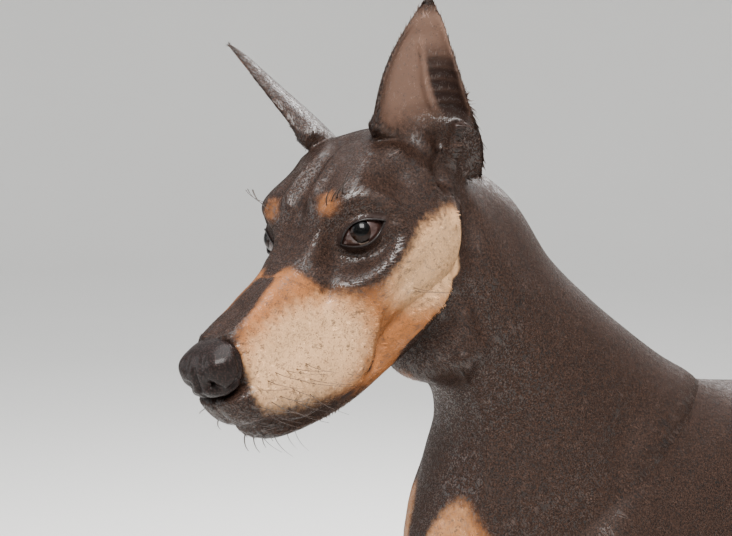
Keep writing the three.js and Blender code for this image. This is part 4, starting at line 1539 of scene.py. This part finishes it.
# %% Where the tufts grow
TUFTS_A_PIECE = 49000
# Square millimetres of skin to one tuft. Only their proportions count.
BODY_PATCH, NECK_PATCH, FACE_PATCH = 8.5, 2.2, 1.0
BARE_FROM, BARE_TO, EAR_THINNED = 0.25, 0.7, 0.75
COAT_PIECES = 6

corners = np.array([face.vertices[:3] for face in skin.data.polygons])
a, b, c = (skin_points[corners[:, k]] for k in range(3))
areas = np.linalg.norm(np.cross(b - a, c - a), axis=1) / 2
middles = (a + b + c) / 3
face_part = headness(middles)
neck_part = ramp(middles[:, 2] - 0.6 * middles[:, 1], 560, 760) * (1 - face_part)
bare_part = skin_bare[corners].mean(1)
in_ear_part = skin_ear_and_rim_highlight[corners].mean(1)
density = 1.0 / BODY_PATCH + face_part / FACE_PATCH + neck_part / NECK_PATCH
density *= (1 - ramp(bare_part, BARE_FROM, BARE_TO)) * (1 - EAR_THINNED * in_ear_part)
amount = TUFTS_A_PIECE * COAT_PIECES
chosen = rng.choice(len(areas), amount, p=areas * density / (areas * density).sum())
first, second = rng.random((2, amount))
over = first + second > 1
first[over], second[over] = 1 - first[over], 1 - second[over]
weights = np.stack([1 - first - second, first, second], 1)


def at_roots(values):
    """A value of the skin's points, read at the roots of the tufts."""
    picked = values[corners[chosen]]
    return np.einsum("ij,ij...->i...", weights, picked)


roots, root_normals = at_roots(skin_points), unit(at_roots(skin_normals))
print(amount, "tufts on", round(areas.sum() / 1e6, 2), "square metres of skin")

# %% [markdown]
# Length, width and lift change over the body: the tufts are two to three millimetres long on the
# muzzle, six or seven on the neck and ten on the body. At the hind edge of the cheek, where its hair
# meets the neck's, they stand up a little and make the pale fringe that the picture shows.

# %% Length, width and lift of the tufts
BODY_LENGTH, NECK_LENGTH, FOOT_LENGTH = 10.5, 6.5, 5.0
FACE_LENGTHS = [(-80, 4.6), (-20, 3.9), (40, 3.1), (110, 2.2)]
BODY_WIDTH, NECK_WIDTH, FOOT_WIDTH, FACE_WIDTH = 1.25, 0.85, 0.7, 0.58
LIFT, FRINGE_LIFT, FRINGE_LONGER, FRINGE_REACH = 6, 14, 0.9, 6
FRINGE = [(-74, 52, -12), (-72, 51, -40), (-52, 45, -62), (-34, 38, -74)]


def fringe_share(points):
    return np.exp(-((nearness(one_side(points), curved(FRINGE)) / FRINGE_REACH) ** 2))


def size_of_tufts(points):
    """Length, width and lift of tufts by place."""
    on_face = headness(points)
    low = 1 - ramp(points[:, 2], 40, 130)
    neck = ramp(points[:, 2] - 0.6 * points[:, 1], 540, 780)
    length = blend(blend(BODY_LENGTH, NECK_LENGTH, neck), FOOT_LENGTH, low)
    length = blend(length, read_off(to_head(points)[:, 0], FACE_LENGTHS), on_face)
    width = blend(blend(BODY_WIDTH, NECK_WIDTH, neck), FOOT_WIDTH, low)
    width = blend(width, FACE_WIDTH, on_face)
    fringe = fringe_share(points)
    return length * (1 + FRINGE_LONGER * fringe), width, LIFT + FRINGE_LIFT * fringe


length, width, lift = size_of_tufts(roots)
length *= rng.uniform(0.7, 1.25, amount)
width *= rng.uniform(0.75, 1.2, amount)
print("tufts are", length.min().round(1), "to", length.max().round(1), "mm long")

# %% [markdown]
# Hair gathers in small locks. Some tufts are taken as seeds, and every tuft belongs to the seed that
# is nearest to it. Tufts of one lock lean the same way, close up towards their tips and have one
# shade.

# %% Locks of hair
TUFTS_A_LOCK, GATHERED = 7, 0.65
LOWEST_LIFT = 2.5
seeds = rng.choice(amount, amount // TUFTS_A_LOCK, replace=False)
seed_tree = KDTree(len(seeds))
for number, seed in enumerate(seeds):
    seed_tree.insert(Vector(roots[seed]), number)
seed_tree.balance()
lock = np.array([seed_tree.find(Vector(point))[1] for point in roots])
lock_shade = rng.uniform(0.55, 1.6, len(seeds))
lift = lift + rng.normal(0, 3.2, len(seeds))[lock] + rng.normal(0, 1.5, amount)
lift = np.radians(np.maximum(lift, LOWEST_LIFT))
lean = rng.normal(0, 0.10, (len(seeds), 3))[lock] + rng.normal(0, 0.05, (amount, 3))
print(len(seeds), "locks")

# %% [markdown]
# Each tuft is a spike of four points: two at its root, one a little ahead that makes a low roof, and
# the tip. The root is sunk into the skin, so that no gap shows under it.

# %% Points of the tufts
ROOT_SUNK, ROOF_RISE, ROOF_AHEAD = 0.06, 0.42, 0.8
LOWEST_POINT = 0.3
lie = unit(lie_of_coat(roots) + lean)
across = unit(np.cross(root_normals, lie))
ahead = np.cross(across, root_normals)
sunk = roots - root_normals * ROOT_SUNK
tips = sunk + ahead * (length * np.cos(lift))[:, None] + root_normals * (length * np.sin(lift))[:, None]
aside = np.einsum("ij,ij->i", roots[seeds[lock]] - roots, across)
tips += across * (GATHERED * aside)[:, None]
half_root = across * (width / 2)[:, None]
roof = sunk + (root_normals * ROOF_RISE + ahead * ROOF_AHEAD) * width[:, None]
spikes = np.stack([sunk + half_root, sunk - half_root, roof, tips], 1)
spikes[..., 2] = np.maximum(spikes[..., 2], LOWEST_POINT)
print("the coat reaches", spikes[..., 2].max().round(1), "mm above the floor")

# %% [markdown]
# Every tuft needs a place on a map for baking its colours to a picture.
# A thinned copy of the skin is unwrapped, and each tuft gets a tiny patch where its root lies on
# that unwrap. The map is called OFBake.

# %% Unwrap for the tufts
UNWRAP_FACES = 6000
UV_PATCH = 0.0015
unwrapped = skin.copy()
unwrapped.data = skin.data.copy()
bpy.context.scene.collection.objects.link(unwrapped)
fewer = UNWRAP_FACES / len(unwrapped.data.polygons)
with_modifier(unwrapped, "DECIMATE", ratio=fewer, use_collapse_triangulate=True)
bpy.context.view_layer.objects.active = unwrapped
for other in bpy.context.selected_objects:
    other.select_set(False)
unwrapped.select_set(True)
bpy.ops.object.mode_set(mode="EDIT")
bpy.ops.mesh.select_all(action="SELECT")
bpy.ops.uv.smart_project(angle_limit=math.radians(66), island_margin=0.004)
bpy.ops.object.mode_set(mode="OBJECT")
flat = np.empty(len(unwrapped.data.loops) * 2)
unwrapped.data.uv_layers[0].data.foreach_get("uv", flat)
flat = flat.reshape(-1, 3, 2)
rough_points = points_of(unwrapped)
rough_faces = np.array([list(face.vertices) for face in unwrapped.data.polygons])
tree = BVHTree.FromPolygons(rough_points.tolist(), rough_faces.tolist())
found = np.array([tree.find_nearest(Vector(point))[2] for point in roots])
p, q, r = (rough_points[rough_faces[found, k]] for k in range(3))
normal = np.cross(q - p, r - p)
size = np.einsum("ij,ij->i", normal, normal)
at_q = np.einsum("ij,ij->i", np.cross(roots - p, r - p), normal) / size
at_r = np.einsum("ij,ij->i", np.cross(q - p, roots - p), normal) / size
share = np.clip(np.stack([1 - at_q - at_r, at_q, at_r], 1), 0, 1)
share /= share.sum(1, keepdims=True)
root_uv = np.einsum("ij,ijk->ik", share, flat[found])
bpy.data.objects.remove(unwrapped)
print("unwrap reaches", root_uv.min(0).round(2), "to", root_uv.max(0).round(2))

# %% [markdown]
# A mesh for so many spikes is filled from arrays in one go. Each spike repeats the same four faces,
# and every point carries the markings of its root. The spikes stay flat shaded: their two low
# slopes catch the light a little differently, so the coat shines as one sleek surface and each hair
# still shows as a thin line.

# %% Pieces of the coat
SPIKE_FACES = np.array([(0, 1, 2), (0, 2, 3), (2, 1, 3), (1, 0, 3)])
SPIKE_UV = np.array([(-1, -1), (1, -1), (0, 0), (0, 1)]) * UV_PATCH
# How near each point of a spike lies to its tip. The hair finish turns this into painted shade at the root
# and painted light at the tip.
NEAR_TIP = [0.0, 0.0, 0.25, 1.0]


def coat_piece(number, part):
    """One piece of the coat from some of the tufts."""
    count = len(part)
    mesh = bpy.data.meshes.new("coat")
    loops = (SPIKE_FACES[None] + 4 * np.arange(count)[:, None, None]).reshape(-1)
    mesh.vertices.add(4 * count)
    mesh.loops.add(12 * count)
    mesh.polygons.add(4 * count)
    mesh.vertices.foreach_set("co", (spikes[part] * MM + OFFSET).ravel())
    mesh.loops.foreach_set("vertex_index", loops.astype(np.int32))
    mesh.polygons.foreach_set("loop_start", np.arange(0, 12 * count, 3, dtype=np.int32))
    mesh.polygons.foreach_set("use_smooth", np.zeros(4 * count, bool))
    mesh.update(calc_edges=True)
    layer = mesh.uv_layers.new(name="OFBake")
    uv = root_uv[part][:, None, None] + SPIKE_UV[SPIKE_FACES][None]
    layer.data.foreach_set("uv", uv.ravel().astype(np.float32))
    piece = bpy.data.objects.new("coat", mesh)
    bpy.context.scene.collection.objects.link(piece)
    for name, values in root_marks.items():
        keep_attribute(piece, name, np.repeat(values[part], 4))
    keep_attribute(piece, "tip", np.tile(NEAR_TIP, count))
    dress(piece, hair_finish)
    return placed(piece, "coat_%d" % number, "dark_coat")


root_rust, root_pale = markings(roots)
root_ear_and_rim_highlight, root_hollow_painted_shade = ear_inside(roots)
root_shade = rng.uniform(0.72, 1.3, amount) * lock_shade[lock]
root_marks = {
    "rust": root_rust,
    "pale": root_pale,
    "shade": root_shade,
    "ear": root_ear_and_rim_highlight,
    "painted_hollow_shade": root_hollow_painted_shade,
}
for number in range(COAT_PIECES):
    coat_piece(number + 1, np.arange(number, amount, COAT_PIECES))
print("coat of", COAT_PIECES, "pieces")

# %% [markdown]
# Whiskers grow in rows on the lips, over the eyes and on the cheeks. Each is a thin stiff hair that
# tapers and bends back.

# %% Whiskers
# First root, last root, how many, which way, how long.
WHISKER_ROWS = [
    ((106, 18, -46), (70, 28, -46), 6, (0.15, 1.0, -0.25), 22),
    ((108, 17, -54), (72, 28, -55), 6, (0.1, 1.0, -0.45), 24),
    ((106, 17, -62), (78, 26, -64), 5, (0.1, 0.9, -0.7), 20),
    ((14, 26, 31), (2, 34, 32), 4, (0.5, 0.55, 0.8), 20),
    ((-18, 54, -42), (-22, 54, -46), 2, (-0.2, 1.0, -0.4), 22),
    ((102, 8, -80), (80, 12, -90), 4, (0.3, 0.4, -1.0), 14),
]
WHISKER_RADII = [0.17, 0.15, 0.12, 0.08, 0.03]
skin_tree = BVHTree.FromPolygons(skin_points.tolist(), corners.tolist())
bent_back = from_head(np.array((-1.0, 0, -0.2))) - HEAD_AT
whiskers = []
for start, end, count, way, reach in WHISKER_ROWS:
    for step in range(count):
        for side in (1, -1):
            at = np.array(start) + (np.array(end, float) - start) * step / max(count - 1, 1)
            at += rng.normal(0, 1.2, 3)
            root = np.array(skin_tree.find_nearest(Vector(from_head(at * (1, side, 1))))[0])
            out = from_head(np.array(way) * (1, side, 1)) - HEAD_AT
            out = unit(out + rng.normal(0, 0.12, 3))
            far = reach * rng.uniform(0.8, 1.2)
            path = [
                root + out * (far * t - 1) + bent_back * (far * 0.5 * t * t)
                for t in (0, 0.25, 0.5, 0.75, 1)
            ]
            whiskers.append(tube("whisker", path, WHISKER_RADII, 8, 5))
whisker_finish = Finish("dark_whisker", 0.35)
whisker_finish.paint(whisker_finish.mottled(WHISKER, 300))
whisker_piece = placed(soft(joined("whiskers", whiskers)), "whiskers", "dark_coat")
dress(whisker_piece, whisker_finish)
print(len(whiskers), "whiskers")

# %% [markdown]
# The skin takes its attributes and its finish last, because the tufts and whiskers still measured
# from it in millimetres. It stands for every node of flesh at once.

# %% The finished skin
skin_marks = {
    "rust": skin_rust,
    "pale": skin_pale,
    "bare": skin_bare,
    "ear": skin_ear_and_rim_highlight,
    "painted_hollow_shade": skin_hollow_painted_shade,
}
for name, values in skin_marks.items():
    keep_attribute(skin, name, values)
dress(skin, skin_finish)
flesh = [node for node in frame["nodes"] if not node.startswith(("eye", "nose")) and "claw" not in node]
placed(soft(skin), "skin", "dark_coat", *flesh)
print("the skin stands for", len(flesh), "nodes")

# %% [markdown]
# The dog stands in a round studio: a pale floor that curves up into a wall, so that no view shows a
# horizon.

# %% Studio
FLOOR_RADIUS, SWEEP_RADIUS, WALL_TOP = 9.0, 3.0, 7.0
MIDDLE_HOLE = 0.02
FLOOR_STEPS, SWEEP_STEPS = 6, 12
bm = bmesh.new()
profile = [(MIDDLE_HOLE, 0)] + [(FLOOR_RADIUS * k / FLOOR_STEPS, 0) for k in range(1, FLOOR_STEPS)]
for k in range(SWEEP_STEPS + 1):
    a = math.pi / 2 * k / SWEEP_STEPS
    profile.append((FLOOR_RADIUS + SWEEP_RADIUS * math.sin(a), SWEEP_RADIUS * (1 - math.cos(a))))
profile.append((FLOOR_RADIUS + SWEEP_RADIUS, WALL_TOP))
line = [bm.verts.new((x, 0, z)) for x, z in profile]
edges = [bm.edges.new(pair) for pair in zip(line[:-1], line[1:])]
spun = {"cent": (0, 0, 0), "axis": (0, 0, 1), "angle": 2 * math.pi, "steps": 96, "use_merge": True}
bmesh.ops.spin(bm, geom=line + edges, **spun)
rims = [edge for edge in bm.edges if edge.is_boundary and edge.verts[0].co.xy.length < 2 * MIDDLE_HOLE]
bmesh.ops.holes_fill(bm, edges=rims, sides=0)
bmesh.ops.recalc_face_normals(bm, faces=bm.faces[:])
studio = finished("studio_floor", bm)
for face in studio.data.polygons:
    face.use_smooth = True
studio_finish = Finish("pale_floor", 0.9, 0.2)
studio_finish.paint(studio_finish.mottled(STUDIO, 0.6))
dress(studio, studio_finish)
print("the studio is", 2 * (FLOOR_RADIUS + SWEEP_RADIUS), "metres across")

# %% [markdown]
# A soft light stands behind the camera, above it and a little to its right. A weaker one from the
# left fills the shadows, one from behind draws the sheen along the neck, and one hangs overhead. The
# last, high up, shines on the top of the wall.

# %% Lights and air
def softbox(name, at, aim, size, power, tint=(1, 1, 1)):
    lamp = bpy.data.objects.new(name, bpy.data.lights.new(name, "AREA"))
    lamp.data.shape = "RECTANGLE"
    lamp.data.size, lamp.data.size_y = size
    lamp.data.energy = power
    lamp.data.color = tint
    lamp.location = at
    lamp.rotation_euler = (Vector(aim) - Vector(at)).to_track_quat("-Z", "Y").to_euler()
    bpy.context.scene.collection.objects.link(lamp)


HEAD_MIDDLE = (0.04, -0.36, 0.80)
softbox("key_light", (1.3, -0.7, 2.1), HEAD_MIDDLE, (1.0, 1.0), 55, (1.0, 0.985, 0.96))
softbox("fill_light", (-0.6, -2.4, 1.3), HEAD_MIDDLE, (2.0, 1.6), 22, (0.95, 0.975, 1.0))
softbox("rim_light", (-1.0, 1.2, 2.1), (0, -0.2, 0.75), (1.0, 1.4), 46)
softbox("top_light", (0.2, 0, 3.4), (0, 0, 0.5), (2.2, 2.2), 60)
softbox("wall_light", (0, 0, 6.5), (0, 0, 9), (6, 6), 1300)
world = bpy.data.worlds.new("studio_air")
world.use_nodes = True
world.node_tree.nodes["Background"].inputs["Color"].default_value = (0.97, 0.98, 1.0, 1)
world.node_tree.nodes["Background"].inputs["Strength"].default_value = 0.8
bpy.context.scene.world = world
bpy.context.scene.view_settings.look = "AgX - Medium High Contrast"
print(len(bpy.data.lights), "lights")
